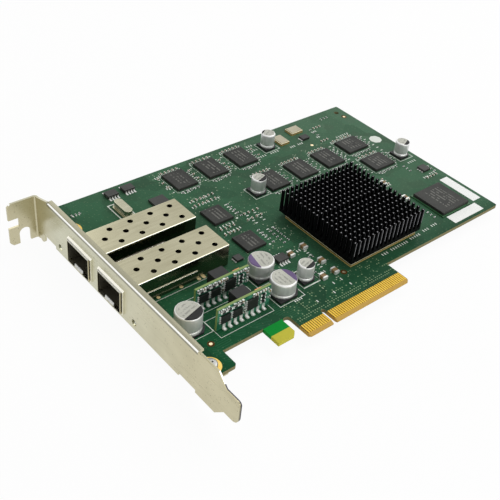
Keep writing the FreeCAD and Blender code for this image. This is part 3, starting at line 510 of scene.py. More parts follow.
def heatsink_finish():
    low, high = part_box("heatsink")
    finish = Finish("anodised_black", specular_ior_level=0.05)
    x, y, z = finish.axes()
    _, ny, nz = finish.facing()
    fine = finish.cloud(0.3, 3.0)
    off = []
    for place, start, end in ((x, low.x, high.x), (y, low.y, high.y)):
        pitch = ((end - start) / MM - PIN_SIDE) / (PINS - 1)
        step = ((place - start) / MM - PIN_SIDE / 2) / pitch + 0.5
        off.append((step.math("FRACT") - 0.5) * pitch)
    from_middle = (y - (low.y + high.y) / 2) / MM
    middle_row = (from_middle > -1.2) * (from_middle < 1.5)
    ahead = middle_row * (from_middle - ROW_SHIFT) + (1.0 - middle_row) * off[1]
    # painted highlight: a grey-white dot in the middle of each pin's flat top
    top_glint = (nz > 0.7) * (1.0 - squares(off[0], ahead).ramp(0.006, 0.04))
    top_glint = top_glint * (z > high.z - 0.1 * MM)
    # painted glint along one edge of the pins' sides, strongest on the outermost row
    edge_glint = (abs(ny) > 0.7) * (off[0] > 0.24) * (z > low.z + 3.5 * MM)
    outermost = (y < low.y + 1.3 * MM) * 0.75 + 0.15
    tone = finish.layers(
        finish.blend(fine, (3, 3, 4), (9, 9, 11)), (top_glint, (244, 244, 248)),
        (edge_glint * outermost, (150, 150, 154)))
    return finish.done(tone, 0.40 + fine * 0.1, fine, 0.003)


anodised = heatsink_finish()
print("heatsink finish:", anodised.name)

# %% Package finish
def package_finish():
    low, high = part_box("network_package")
    finish = Finish("package_laminate", specular_ior_level=0.35)
    fine = finish.cloud(0.3, 3.0)
    up = (finish.axes()[2] - low.z) / (high.z - low.z) + fine * 0.1
    # painted highlight: the top band of the side is painted near white; a dark band lies below it
    tone = finish.layers(
        finish.blend(fine, (196, 164, 92), (214, 186, 114)), (up > 0.76, (252, 240, 200)),
        ((up > 0.46) * (up < 0.76), (64, 46, 22)))
    return finish.done(tone, 0.4 + fine * 0.1, fine, 0.004)


package_tan = package_finish()
print("package finish:", package_tan.name)

# %% Module finish
def module_finish():
    finish = Finish("module_lacquer", specular_ior_level=0.35)
    fine = finish.cloud(0.4, 3.0)
    patch = finish.draw(2.2, True, flat=False).ramp(0.2, 0.8)
    face = finish.blend(patch, (26, 98, 70), (64, 136, 106))
    edge = finish.blend(fine, (112, 138, 70), (146, 168, 100))
    tone = finish.blend(abs(finish.facing()[1]) < 0.5, face, edge)
    return finish.done(tone, 0.38 + fine * 0.1, patch, 0.02)


module_green = module_finish()
print("module finish:", module_green.name)

# %% [markdown]
# ## Dressing the CAD nodes
# Most CAD nodes keep their shape and only need a finish. The record names a material slot
# for every node, so the finish is chosen by slot and no node can be forgotten.

# %% Dress the CAD nodes
FINISH_OF_SLOT = {
    "board": mask_green, "contact_gold": gold, "bracket_nickel": bracket_nickel,
    "cage_nickel": cage_nickel, "screw_steel": screw_steel, "connector_black": connector_black,
    "led_clear": lamp_clear, "package_tan": package_tan, "lid_metal": lid_metal,
    "pad_grey": pad_grey, "heatsink_black": anodised, "chip_black": chip_black,
    "substrate_green": substrate_green, "can_aluminium": tin, "can_base_black": base_black,
    "module_green": module_green, "ferrite_grey": ferrite, "copper": copper, "tin": tin,
    "crystal_steel": crystal_steel, "ceramic_tan": ceramic_tan, "label_white": paper,
}
for part in frame["record"]["subparts"]:
    node = frame["nodes"][part["node"]]
    node.data.materials.clear()
    node.data.materials.append(FINISH_OF_SLOT[part["material_slot"]])

# %% [markdown]
# ## Modelling by hand, in code
# The next pieces are modelled the way one would at the screen: add a simple solid at its
# place, go into edit mode, pick faces or edges by where they are, and push, inset or
# bevel them. These helpers are the few moves that come back again and again.

# %% Modelling helpers
TINY, WELD = 0.01 * MM, 0.002 * MM
UP = (0.0, 0.0, 1.0)


def clear():
    """Leaves edit mode with nothing selected."""
    if bpy.context.mode != "OBJECT":
        bpy.ops.object.mode_set(mode="OBJECT")
    bpy.ops.object.select_all(action="DESELECT")


def hold(piece):
    """Makes one piece the only selected and active one."""
    clear()
    piece.select_set(True)
    bpy.context.view_layer.objects.active = piece


def settle(name):
    """Names a new primitive and puts its place into its mesh."""
    piece = bpy.context.active_object
    piece.name = piece.data.name = name
    bpy.ops.object.transform_apply(location=True, rotation=True, scale=True)
    return piece


def slab(name, low, high):
    clear()
    low, high = Vector(low), Vector(high)
    bpy.ops.mesh.primitive_cube_add(size=1.0, location=(low + high) / 2, scale=high - low)
    return settle(name)


def drum(name, foot, radius, height, sides):
    clear()
    middle = Vector(foot) + Vector((0.0, 0.0, height / 2))
    bpy.ops.mesh.primitive_cylinder_add(vertices=sides, radius=radius, depth=height, location=middle)
    return settle(name)


def sheet_of(name, middle, length, width):
    clear()
    bpy.ops.mesh.primitive_plane_add(size=1.0, location=middle)
    bpy.context.active_object.scale = (length, width, 1.0)
    return settle(name)


def disc(name, middle, radius, sides):
    clear()
    bpy.ops.mesh.primitive_circle_add(vertices=sides, radius=radius * MM, fill_type="NGON", location=middle)
    return settle(name)


def take_all(piece):
    """Goes into edit mode with the whole piece selected."""
    hold(piece)
    bpy.ops.object.mode_set(mode="EDIT")
    bpy.ops.mesh.select_all(action="SELECT")


def pick(piece, kind, test):
    """Selects, in edit mode, the verts, edges or faces whose middle passes the test."""
    take_all(piece)
    modes = {"verts": "VERT", "edges": "EDGE", "faces": "FACE"}
    bpy.ops.mesh.select_mode(type=modes[kind])
    bpy.ops.mesh.select_all(action="DESELECT")
    mesh = bmesh.from_edit_mesh(piece.data)
    for part in getattr(mesh, kind):
        corners = [part] if kind == "verts" else part.verts
        middle = sum((corner.co for corner in corners), Vector()) / len(corners)
        if test(middle):
            part.select_set(True)
    bmesh.update_edit_mesh(piece.data)


def cut(piece, point, way, **more):
    """A straight cut through the whole piece in edit mode, which adds edges there."""
    take_all(piece)
    bpy.ops.mesh.bisect(plane_co=point, plane_no=way, **more)


def bevel(piece, test, width, segments=1):
    """Bevels, in edit mode, the edges whose middle passes the test."""
    pick(piece, "edges", test)
    bpy.ops.mesh.bevel(offset=width * MM, segments=segments, affect="EDGES")


def shape_top(piece, top, width, segments, rim, sink):
    """Bevels the edges of a top face, then sinks what lies inside a rim."""
    bevel(piece, lambda e: abs(e.z - top) < TINY, width, segments)
    pick(piece, "faces", lambda f: f.z > top - TINY)
    bpy.ops.mesh.inset(thickness=rim * MM, depth=-sink * MM)


def hollow_out(piece, band):
    """Leaves only a band along the rim of a flat face."""
    take_all(piece)
    bpy.ops.mesh.inset(thickness=band * MM)
    bpy.ops.mesh.delete(type="FACE")


def smooth(piece, angle=35.0):
    hold(piece)
    bpy.ops.object.shade_smooth_by_angle(angle=math.radians(angle))


def change(piece, kind, **settings):
    """Adds a modifier with its settings and applies it."""
    hold(piece)
    modifier = piece.modifiers.new("change", kind)
    for name, value in settings.items():
        setattr(modifier, name, value)
    bpy.ops.object.modifier_apply(modifier=modifier.name)


def round_edges(piece, width, angle=30.0):
    limit = math.radians(angle)
    change(piece, "BEVEL", width=width * MM, segments=2, limit_method="ANGLE", angle_limit=limit)
    smooth(piece)
    change(piece, "WEIGHTED_NORMAL", keep_sharp=True)


def thicken(piece, thickness):
    change(piece, "SOLIDIFY", thickness=thickness * MM, offset=1.0)


def carve(piece, tool):
    """Cuts the tool's shape out of the piece and removes the tool."""
    change(piece, "BOOLEAN", operation="DIFFERENCE", object=tool)
    bpy.data.objects.remove(tool, do_unlink=True)


def join(name, pieces):
    clear()
    for piece in pieces:
        piece.select_set(True)
    bpy.context.view_layer.objects.active = pieces[0]
    if len(pieces) > 1:
        bpy.ops.object.join()
    pieces[0].name = pieces[0].data.name = name
    return pieces[0]


def keep(piece, slot, *nodes, finish=None):
    """Gives a finished piece its finish and its body, and hides the CAD nodes it stands for."""
    clear()
    if finish:
        piece.data.materials.append(finish)
    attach(piece, "root")
    if nodes:
        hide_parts(*nodes)


def copies(name, model, places, slot, finish=None):
    """One kept piece of copies with their own mesh, one per matrix; the model is removed."""
    twins = []
    for place in places:
        twin = bpy.data.objects.new(model.name, model.data.copy())
        twin.data.transform(place)
        bpy.context.collection.objects.link(twin)
        twins.append(twin)
    bpy.data.objects.remove(model, do_unlink=True)
    keep(join(name, twins), slot, finish=finish)


print("helpers ready")

# %% [markdown]
# ## Electrolytic cans
# The silver cans are drawn aluminium cups. The cup's shoulder is rounded, and near its
# foot it is rolled into a groove that grips the rubber seal. We add a cylinder, cut three
# rings, squeeze the middle one inwards and bevel the top rim. The coloured segment that
# marks one side and the faint dashes on the top are painted by the finish, from each
# can's own centre.

# %% Cans
GROOVE_AT, GROOVE_HALF, GROOVE_DEPTH = 0.15, 0.4, 0.22
BLACK_INK, PURPLE_INK = (6, 6, 7), (106, 88, 128)
CANS = ["capacitor_can_%d" % number for number in range(1, 8)]
CAN_MARKS = [
    (-75.0, 0.34, BLACK_INK), (168.0, 0.46, PURPLE_INK), (2.0, 0.46, PURPLE_INK),
    (-75.0, 0.40, BLACK_INK), (120.0, 0.66, BLACK_INK), (-72.0, 0.40, BLACK_INK),
    (-68.0, 0.46, BLACK_INK),
]


def can_finish(name, centre, radius, top, toward, share, ink):
    finish = Finish(name, specular_ior_level=0.25)
    x, y, z = finish.axes()
    nz = finish.facing()[2]
    turn = math.radians(toward)
    out_x, out_y = x - centre.x, y - centre.y
    side = out_x * math.cos(turn) + out_y * math.sin(turn)
    face = nz > 0.5
    inked = (side > share * radius) * (z > top - 0.25 * MM) * face
    brush = finish.cloud(0.9, 3.0, (1.0, 1.0, 0.12))
    zone = squares(out_x, out_y) < (0.72 * radius) ** 2
    line = (side / (1.6 * MM)).math("FRACT") < 0.45
    dash = line * (finish.draw(0.6, True) > 0.4) * (side < (share - 0.12) * radius)
    tone = finish.layers(
        finish.blend(brush, (214, 215, 213), (236, 237, 234)), (face * 0.85, (175, 175, 162)),
        # painted highlight: the rounded shoulder and the curl below the groove are painted near white
        (dash * zone * face * 0.45, (96, 97, 94)), ((nz > 0.2) * (nz < 0.96), (248, 248, 246)),
        (inked, ink))
    finish.set(metallic=(1.0 - inked) * (0.42 - face * 0.2))
    return finish.done(tone, 0.26 + brush * 0.12 + face * 0.2, brush, 0.002)


for node, mark in zip(CANS, CAN_MARKS):
    low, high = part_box(node)
    middle = (low + high) / 2
    radius, height = (high.x - low.x) / 2, high.z - low.z
    can = drum(node + "_cup", Vector((middle.x, middle.y, low.z)), radius, height, 48)
    groove = low.z + GROOVE_AT * height
    for step in (-GROOVE_HALF, 0.0, GROOVE_HALF):
        cut(can, (0.0, 0.0, groove + step * MM), UP)
    pick(can, "verts", lambda v: abs(v.z - groove) < 0.05 * MM)
    squeeze = 1.0 - GROOVE_DEPTH * MM / radius
    bpy.ops.transform.resize(
        value=(squeeze, squeeze, 1.0), center_override=(middle.x, middle.y, groove))
    shape_top(can, high.z, width=0.7, segments=4, rim=0.25, sink=0.06)
    smooth(can, 40.0)
    keep(can, "can_aluminium", node, finish=can_finish(node + "_skin", middle, radius, high.z, *mark))
print("cans:", len(CANS))

# %% [markdown]
# ## Moulded chips
# A chip's body is pressed in a mould, so its upper edges are softly chamfered, and a
# shallow dimple marks the corner of its first contact. The CAD blocks have sharp edges
# that catch no light, so each gets a bevelled body of the same size with the dimple cut.
# A laser has left faint dashed lines on the resin, which the finish draws inside a margin.

# %% Chips
DIMPLE_IN, DIMPLE_RADIUS, DIMPLE_DEPTH = 1.4, 0.42, 0.09
MEMORY = ["memory_chip_%d" % number for number in range(1, 9)]
CHIPS = MEMORY + ["port_chip_1", "port_chip_2", "processor_body"]


def chip_finish(name, low, high):
    finish = Finish(name, specular_ior_level=0.2)
    x, y, _ = finish.axes()
    fine = finish.cloud(0.45, 4.0)
    size = high - low
    zone = abs(x - low.x - 0.52 * size.x) < 0.27 * size.x
    zone = zone * (abs(y - low.y - size.y / 2) < 0.36 * size.y)
    line = ((x - low.x) / (1.6 * MM)).math("FRACT") < 0.42
    dash = finish.draw(0.62, True, 0.8, (0.35, 1.0, 1.0)) > 0.36
    tone = finish.mottle(fine, finish.cloud(6.0, 1.0), 0.6, 0.18)
    tone = finish.blend(tone, (29, 30, 28), (58, 59, 55))
    tone = finish.blend(line * dash * zone * 0.7, tone, (120, 120, 114))
    return finish.done(tone, 0.46 + fine * 0.12, fine, 0.006)


for node in CHIPS:
    low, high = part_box(node)
    chip = slab(node + "_case", low, high)
    shape_top(chip, high.z, width=0.16, segments=2, rim=0.30, sink=0.015)
    corner = Vector((low.x, high.y, high.z)) + Vector((DIMPLE_IN, -DIMPLE_IN, -DIMPLE_DEPTH)) * MM
    carve(chip, drum("dimple", corner, DIMPLE_RADIUS * MM, 0.3 * MM, 12))
    smooth(chip)
    keep(chip, "chip_black", node, finish=chip_finish(node + "_resin", low, high))
print("chips:", len(CHIPS))

# %% [markdown]
# ## Screws and their pads
# Two screws hold the bracket's ears to the board. Each has a low round head with a cross
# recess, and sits in a gold ring pad that earths the bracket. The head is a cylinder with
# a bevelled rim; the recess is cut with two crossed bars. The pad is a disc whose middle
# is inset and removed.

# %% Screws and ring pads
SCREW_PLACES = [(9.3, 8.7), (9.3, 95.2)]
HEAD_RADIUS, HEAD_ROUND, SHANK_RADIUS, SHANK_TIP = 2.65, 0.55, 1.45, 0.25
CROSS_LONG, CROSS_WIDE, CROSS_DEEP = 2.6, 0.55, 0.7
PAD_RADIUS, PAD_BAND, PAD_THICK = 4.0, 1.45, 0.04
low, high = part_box("bracket_screws")
heads, pads = [], []
for place in SCREW_PLACES:
    foot = spot(*place)
    head = drum("screw_head", foot, HEAD_RADIUS * MM, high.z - foot.z, 32)
    bevel(head, lambda e: abs(e.z - high.z) < TINY, HEAD_ROUND, 3)
    for length, width in ((CROSS_LONG, CROSS_WIDE), (CROSS_WIDE, CROSS_LONG)):
        half = Vector((length / 2, width / 2, CROSS_DEEP)) * MM
        middle = Vector((foot.x, foot.y, high.z))
        carve(head, slab("recess", middle - half, middle + half))
    smooth(head)
    shank = drum("screw_shank", Vector((foot.x, foot.y, low.z)), SHANK_RADIUS * MM, foot.z - low.z, 16)
    bevel(shank, lambda e: abs(e.z - low.z) < TINY, SHANK_TIP)
    heads += [head, shank]
    pad = disc("ring_pad", foot, PAD_RADIUS, 40)
    hollow_out(pad, PAD_BAND)
    thicken(pad, PAD_THICK)
    pads.append(pad)
keep(join("bracket_screw_set", heads), "screw_steel", "bracket_screws", finish=screw_steel)
keep(join("ring_pads", pads), "contact_gold", finish=pad_gold)
print("screws:", len(SCREW_PLACES))

# %% [markdown]
# ## Painted outlines
# White ink marks where parts go. An outline is a flat frame: a plane at the right size,
# inset by the line's width, with its middle face removed and a hair of thickness added.
# Most frames follow the boxes of the CAD nodes, so they fit the part that they mark. The
# others are given by their two corners.

# %% Painted outlines
INK_FILM = 0.02
BOXES = [
    (20.2, 16.5, 44.2, 26.0), (20.2, 29.4, 44.2, 38.2), (7.6, 20.6, 20.2, 32.9),
    (61.0, 18.9, 69.4, 28.1), (11.8, 43.5, 36.0, 43.8), (11.8, 46.2, 35.0, 46.5),
]
outlined = [(reach(node), 0.9, 0.11) for node in MEMORY]
outlined += [(reach(node), 1.1, 0.24) for node in CANS[1:]]
outlined += [(reach("crystal_base"), 1.1, 0.5)]
outlined += [(box, 0.0, 0.2) for box in BOXES]
frames = []
for (near, foot, far, head), margin, width in outlined:
    low, high = spot(near - margin, foot - margin), spot(far + margin, head + margin)
    frames.append(sheet_of("painted_outline", (low + high) / 2, high.x - low.x, high.y - low.y))
    hollow_out(frames[-1], width)
ink = join("painted_outlines", frames)
thicken(ink, INK_FILM)
keep(ink, "label_white", finish=ink_white)
print("outlines:", len(frames))

# %% [markdown]
# ## Tiny two-ended parts
# Resistors and ceramic capacitors are bricks a millimetre long with tinned ends. There
# are hundreds, so one is modelled with few faces: a box cut twice, its end bands a touch
# thicker and given the second finish. Copies of it are turned and placed in the rows
# that a layout would have, beside the chips that they serve.

# %% One tiny part
def tiny_part(name, body_finish, length, width, height, bare=0.27):
    half = Vector((length / 2, width / 2, 0.0)) * MM
    part = slab(name, -half, half + Vector((0.0, 0.0, height * MM)))
    part.data.materials.append(body_finish)
    part.data.materials.append(tin)
    for side in (-1.0, 1.0):
        cut(part, (side * bare * length * MM, 0.0, 0.0), (1.0, 0.0, 0.0))
    for side in (-1.0, 1.0):
        pick(part, "verts", lambda v: v.x * side > 0.4 * length * MM)
        centre = (0.0, 0.0, height / 2 * MM)
        bpy.ops.transform.resize(value=(1.0, 1.08, 1.06), center_override=centre)
    pick(part, "faces", lambda f: abs(f.x) > (bare + 0.02) * length * MM)
    part.active_material_index = 1
    bpy.ops.object.material_slot_assign()
    clear()
    return part


dark_part = tiny_part("resistor", resistor_black, 1.0, 0.55, 0.36)
tan_part = tiny_part("ceramic_capacitor", ceramic_tan, 1.05, 0.60, 0.55)
print("faces of one part:", len(dark_part.data.polygons))

# %% Rows of tiny parts
def line(along, across, count, step, turn=90.0):
    """Places in a row along the board, for parts that lie across it."""
    return [(along + i * step, across, turn) for i in range(count)]


def column(along, across, count, step, turn=0.0):
    """Places in a row across the board, for parts that lie along it."""
    return [(along, across + i * step, turn) for i in range(count)]


def all_rows(lines, columns):
    rows = [line(*row) for row in lines] + [column(*row) for row in columns]
    return [place for row in rows for place in row]


def scatter(name, model, places, slot):
    moves = []
    for along, across, turn in places:
        turned = Matrix.Rotation(math.radians(turn), 4, "Z")
        moves.append(Matrix.Translation(spot(along, across)) @ turned)
    copies(name, model, moves, slot)


dark_places = all_rows(
    [(71.0, 31.0, 4, 1.8), (152.4, 105.4, 3, 2.0), (13.6, 102.2, 3, 1.7)],
    [(70.0, 66.4, 5, 2.2), (69.6, 46.2, 5, 2.2), (73.0, 43.4, 5, 2.1), (75.6, 44.0, 5, 2.1, 90.0),
     (70.6, 23.4, 3, 2.0), (141.0, 95.6, 3, 2.6), (156.0, 50.6, 3, 2.0), (165.8, 44.6, 3, 2.0),
     (137.6, 21.0, 3, 1.9)])
tan_places = all_rows(
    [(58.0, 81.4, 6, 2.1), (59.0, 84.6, 6, 2.1), (70.4, 62.4, 4, 2.3), (71.6, 66.2, 4, 2.3),
     (56.6, 59.6, 4, 2.1), (57.2, 63.0, 4, 2.1), (143.4, 101.0, 3, 1.9), (138.6, 90.4, 3, 1.8),
     (158.4, 42.4, 4, 2.0)],
    [(139.4, 49.0, 3, 1.9), (71.4, 97.0, 3, 3.3), (87.8, 96.4, 3, 3.4), (105.6, 97.2, 2, 5.4),
     (56.4, 98.0, 3, 3.6)])
for node in MEMORY:
    near, foot, far, head = reach(node)
    count = 5
    pace = (far - near - 2.4) / (count - 1)
    tan_places += line(near + 1.2, head + 1.9, count, pace)
    dark_places += line(near + 1.2, foot - 1.9, count, pace)
    dark_places += column(far + 1.9, foot + 1.6, 4, 2.6)
scatter("resistors", dark_part, dark_places, "chip_black")
scatter("ceramic_capacitors", tan_part, tan_places, "ceramic_tan")
print("tiny parts:", len(dark_places), "and", len(tan_places))

# %% [markdown]
# ## Printed strokes
# Short white strokes and dots frame the places of tiny parts and give the board its busy
# look. One stroke is a plane with clipped corners and a hair of thickness. Rings of dots
# run round the memory chips, with a few left out by a fixed draw, and longer strokes stand
# in rows elsewhere.

# %% Printed strokes
BOARD_RIM = 110.2


def stroke(length, width):
    piece = sheet_of("stroke", (0.0, 0.0, 0.0), length * MM, width * MM)
    take_all(piece)
    bpy.ops.mesh.bevel(offset=0.1 * MM, segments=1, affect="VERTICES")
    take_all(piece)
    bpy.ops.mesh.extrude_region_move(TRANSFORM_OT_translate={"value": (0.0, 0.0, INK_FILM * MM)})
    take_all(piece)
    bpy.ops.mesh.normals_make_consistent(inside=False)
    clear()
    piece.data.materials.append(ink_white)
    return piece


dot_places = []
for node in MEMORY:
    near, foot, far, head = reach(node)
    full, wide, deep = int(far - near + 2.0), int((far - near) / 1.2), int((head - foot) / 1.3)
    dot_places += line(near - 0.6, head + 1.3, full, 1.0)
    dot_places += line(near - 0.2, min(head + 2.2, BOARD_RIM), full, 1.0, 0.0)
    dot_places += line(near + 0.5, foot - 1.5, wide, 1.2)
    dot_places += line(near + 0.5, foot - 2.4, wide, 1.2)[1:4]
    dot_places += column(far + 1.5, foot + 0.6, deep, 1.3)
    dot_places += column(near - 2.0, foot + 0.6, deep, 1.3)[::2]
omit = random.Random(11)
dot_places = [place for place in dot_places if omit.random() > 0.14]
print_places = all_rows(
    [(56.8, 81.2, 9, 1.65), (58.0, 84.6, 6, 1.65), (57.2, 60.6, 6, 1.5), (58.0, 64.8, 5, 1.6),
     (73.2, 53.6, 2, 2.6, 0.0), (122.8, 94.4, 3, 1.1), (127.6, 94.4, 3, 1.1), (139.6, 94.4, 2, 1.1),
     (140.6, 99.0, 3, 1.1), (131.0, 97.8, 2, 1.1), (111.6, 95.4, 4, 1.3), (105.4, 101.4, 3, 1.3),
     (105.4, 105.2, 3, 1.3), (104.4, 95.6, 4, 1.3), (55.8, 106.4, 3, 1.2), (55.6, 97.6, 3, 1.2),
     (147.6, 89.4, 6, 1.4), (160.6, 55.6, 4, 1.4), (157.4, 43.4, 3, 1.2), (162.2, 44.2, 3, 1.4),
     (137.4, 48.2, 3, 1.2), (72.4, 15.2, 2, 4.0), (73.6, 36.6, 3, 1.3), (71.4, 22.0, 3, 1.4),
     (53.6, 16.0, 4, 1.0), (14.0, 102.0, 3, 1.3), (18.5, 47.8, 3, 2.6, 0.0), (60.4, 11.4, 3, 8.6),
     (100.4, 16.2, 3, 1.3), (105.8, 16.4, 8, 1.3), (117.8, 16.9, 5, 1.3), (126.4, 17.4, 3, 1.3),
     (132.0, 17.8, 3, 1.3)],
    [(72.2, 59.2, 5, 1.9), (76.2, 59.2, 4, 1.9), (69.3, 68.8, 5, 1.7), (69.3, 48.6, 5, 1.6),
     (158.0, 62.0, 9, 2.7), (138.8, 62.6, 10, 2.5), (76.4, 32.2, 3, 1.4), (75.0, 24.6, 3, 1.5)])
scatter("printed_strokes", stroke(1.25, 0.44), print_places, "label_white")
scatter("printed_dots", stroke(0.72, 0.46), dot_places, "label_white")
print("strokes and dots:", len(print_places), "and", len(dot_places))

# %% [markdown]
# ## Folded sheet metal
# Real sheet never has a knife edge: every cut is slightly rounded, and that is what draws
# the thin bright lines along the bracket and the cages. The CAD shapes are right apart
# from this, so each is copied, its loose triangles are merged, and a small bevel is put
# on its sharp edges only. The cages' long upper folds get a wider one first, because
# there the sheet is bent and not cut.

# %% Folded sheet metal
CAGE_FOLD = 0.32


def softened(node, width, slot, fold=0.0):
    piece = bpy.data.objects.new(node + "_sheet", frame["nodes"][node].data.copy())
    bpy.context.collection.objects.link(piece)
    hold(piece)
    bpy.ops.mesh.customdata_custom_splitnormals_clear()
    take_all(piece)
    bpy.ops.mesh.remove_doubles(threshold=WELD)
    bpy.ops.mesh.dissolve_limited(angle_limit=math.radians(0.5))
    if fold:
        low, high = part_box(node)
        bevel(piece, lambda e: e.z > high.z - TINY and not low.y + TINY < e.y < high.y - TINY, fold, 3)
    round_edges(piece, width, 40.0)
    keep(piece, slot, node)


softened("bracket", 0.14, "bracket_nickel")
for side in ("near", "far"):
    softened(side + "_cage_cover", 0.08, "cage_nickel", CAGE_FOLD)
    softened(side + "_cage_base", 0.06, "cage_nickel")
softened("crystal_can", 0.2, "crystal_steel")

# %% [markdown]
# ## Smaller cased parts
# Some CAD nodes hold several small bodies in one. Each body is found again as an island
# of connected vertices, and gets a case with softened edges. The clocks are ceramic
# trays closed with a pale lid: the tray's top face is inset and raised to make it.

# %% Smaller cased parts
LID_RIM = LID_RISE = 0.35


def islands(node):
    """The separate solids of a CAD node as (lowest corner, highest corner) pairs."""
    mesh = bmesh.new()
    mesh.from_mesh(frame["nodes"][node].data)
    bmesh.ops.remove_doubles(mesh, verts=mesh.verts, dist=WELD)
    boxes, waiting = [], set(mesh.verts)
    while waiting:
        island = [waiting.pop()]
        for vert in island:
            fresh = waiting & {edge.other_vert(vert) for edge in vert.link_edges}
            waiting -= fresh
            island += fresh
        low, high = (Vector([end(v.co[i] for v in island) for i in range(3)]) for end in (min, max))
        boxes.append((low, high))
    mesh.free()
    return sorted(boxes, key=lambda box: [round(part, 6) for part in box[0]])


def cased(node, width, slot, finish):
    cases = []
    for low, high in islands(node):
        case = slab(node + "_case", low, high)
        round_edges(case, width)
        cases.append(case)
    keep(join(node + "_cases", cases), slot, node, finish=finish)


cased("small_chips", 0.14, "chip_black", chip_black)
cased("outline_bodies", 0.16, "chip_black", chip_black)
for side in ("front", "rear"):
    cased(side + "_module_chips", 0.07, "chip_black", module_black)
    cased(side + "_module_inductor", 0.25, "ferrite_grey", ferrite)
clocks = []
for low, high in islands("oscillators"):
    rise = Vector((0.0, 0.0, LID_RISE * MM))
    clock = slab("clock", low, high - rise)
    clock.data.materials.append(package_tan)
    clock.data.materials.append(lid_cream)
    pick(clock, "faces", lambda f: f.z > high.z - rise.z - TINY)
    bpy.ops.mesh.inset(thickness=LID_RIM * MM)
    bpy.ops.mesh.extrude_region_move(TRANSFORM_OT_translate={"value": rise})
    pick(clock, "faces", lambda f: f.z > high.z - rise.z + TINY)
    clock.active_material_index = 1
    bpy.ops.object.material_slot_assign()
    round_edges(clock, 0.08)
    clocks.append(clock)
keep(join("clock_cans", clocks), "ceramic_tan", "oscillators")
print("clocks:", len(clocks))

# %% [markdown]
# ## Solder
# Every pin that stands on a pad is held by a small bright fillet of solder. One blob is
# enough: a sphere cut flat at its foot and flattened a little. Copies sit at the feet of
# the module pins and, on the underside, where the cages' press-in pins come through. Flat
# leads and small chips stand on low bevelled feet of solder instead.

# %% Solder blobs
BLOB_RADIUS = 0.72
clear()
bpy.ops.mesh.primitive_ico_sphere_add(subdivisions=2, radius=BLOB_RADIUS * MM)
blob = settle("solder_blob")
cut(blob, (0.0, 0.0, 0.0), UP, clear_inner=True, use_fill=True)
take_all(blob)
bpy.ops.transform.resize(value=(1.0, 1.15, 0.8), center_override=(0.0, 0.0, 0.0))
smooth(blob, 50.0)
places = []
for side in ("front", "rear"):
    for low, high in islands(side + "_module_pins"):
        middle = (low + high) / 2
        places.append(Matrix.Translation((middle.x, low.y + 0.75 * MM, BOARD_HIGH.z)))
for side in ("near", "far"):
    low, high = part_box(side + "_cage_cover")
    for share in (0.12, 0.34, 0.56, 0.78, 0.94):
        for across in (low.y + 0.4 * MM, high.y - 0.4 * MM):
            place = Vector((low.x + share * (high.x - low.x), across, BOARD_LOW.z))
            places.append(Matrix.Translation(place) @ Matrix.Rotation(math.pi, 4, "X"))
copies("solder_blobs", blob, places, "tin", wet_tin)
print("blobs:", len(places))

# %% Solder feet
FOOT_HEIGHT, FOOT_BEVEL, SMALL_CHIP = 0.22, 0.09, 6.0
places = []
for low, high in islands("outline_leads"):
    size = high - low
    edge = Vector((0.32, 0.12, 0.0) if size.x > size.y else (0.12, 0.32, 0.0)) * MM
    places.append((low - edge, high + edge))
for low, high in islands("small_chips"):
    if high.x - low.x < SMALL_CHIP * MM:
        for end in (low.x, high.x):
            for share in (0.2, 0.5, 0.8):
                middle = Vector((end, low.y + share * (high.y - low.y), low.z))
                edge = Vector((0.5, 0.34, 0.0)) * MM
                places.append((middle - edge, middle + edge))
feet = []
for low, high in places:
    top = low.z + FOOT_HEIGHT * MM
    foot = slab("solder_foot", low, Vector((*high.xy, top)))
    bevel(foot, lambda e: e.z > top - TINY, FOOT_BEVEL)
    feet.append(foot)
keep(join("solder_feet", feet), "tin", finish=wet_tin)
print("feet:", len(feet))

# %% [markdown]
# ## Parts on the power modules
# The faces of the upright modules are crowded with the same tiny bricks. They are placed
# by shares of the module's width and height, in the spaces that its larger chips leave.

# %% Parts on the modules
COLUMNS, LEVELS, CHIP_REACH, CHIP_RISE = 19, 5, 0.95, 0.5
wall_dark = tiny_part("module_resistor", resistor_black, 1.2, 0.66, 0.5, 0.18)
wall_tan = tiny_part("module_capacitor", ceramic_tan, 1.25, 0.75, 0.7, 0.2)
picker = random.Random(7)
dark_places, tan_places = [], []
reserve = Vector((CHIP_REACH, 0.0, CHIP_RISE)) * MM
for side in ("front", "rear"):
    low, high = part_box(side + "_module_board")
    wide, tall = high.x - low.x, high.z - low.z
    taken = [(start - reserve, end + reserve) for start, end in islands(side + "_module_chips")]
    for column_number in range(COLUMNS):
        for level in range(LEVELS):
            x = low.x + (0.035 + 0.0518 * column_number) * wide
            z = low.z + (0.30 + 0.155 * level) * tall
            turn = picker.choice((0.0, 90.0))
            if any(start.x < x < end.x and start.z < z < end.z for start, end in taken):
                continue
            if picker.random() < 0.12:
                continue
            place = Matrix.Translation((x, low.y, z)) @ Matrix.Rotation(math.pi / 2, 4, "X")
            chosen = dark_places if picker.random() < 0.65 else tan_places
            chosen.append(place @ Matrix.Rotation(math.radians(turn), 4, "Z"))
copies("module_resistors", wall_dark, dark_places, "chip_black")
copies("module_capacitors", wall_tan, tan_places, "ceramic_tan")
print("module parts:", len(dark_places) + len(tan_places))

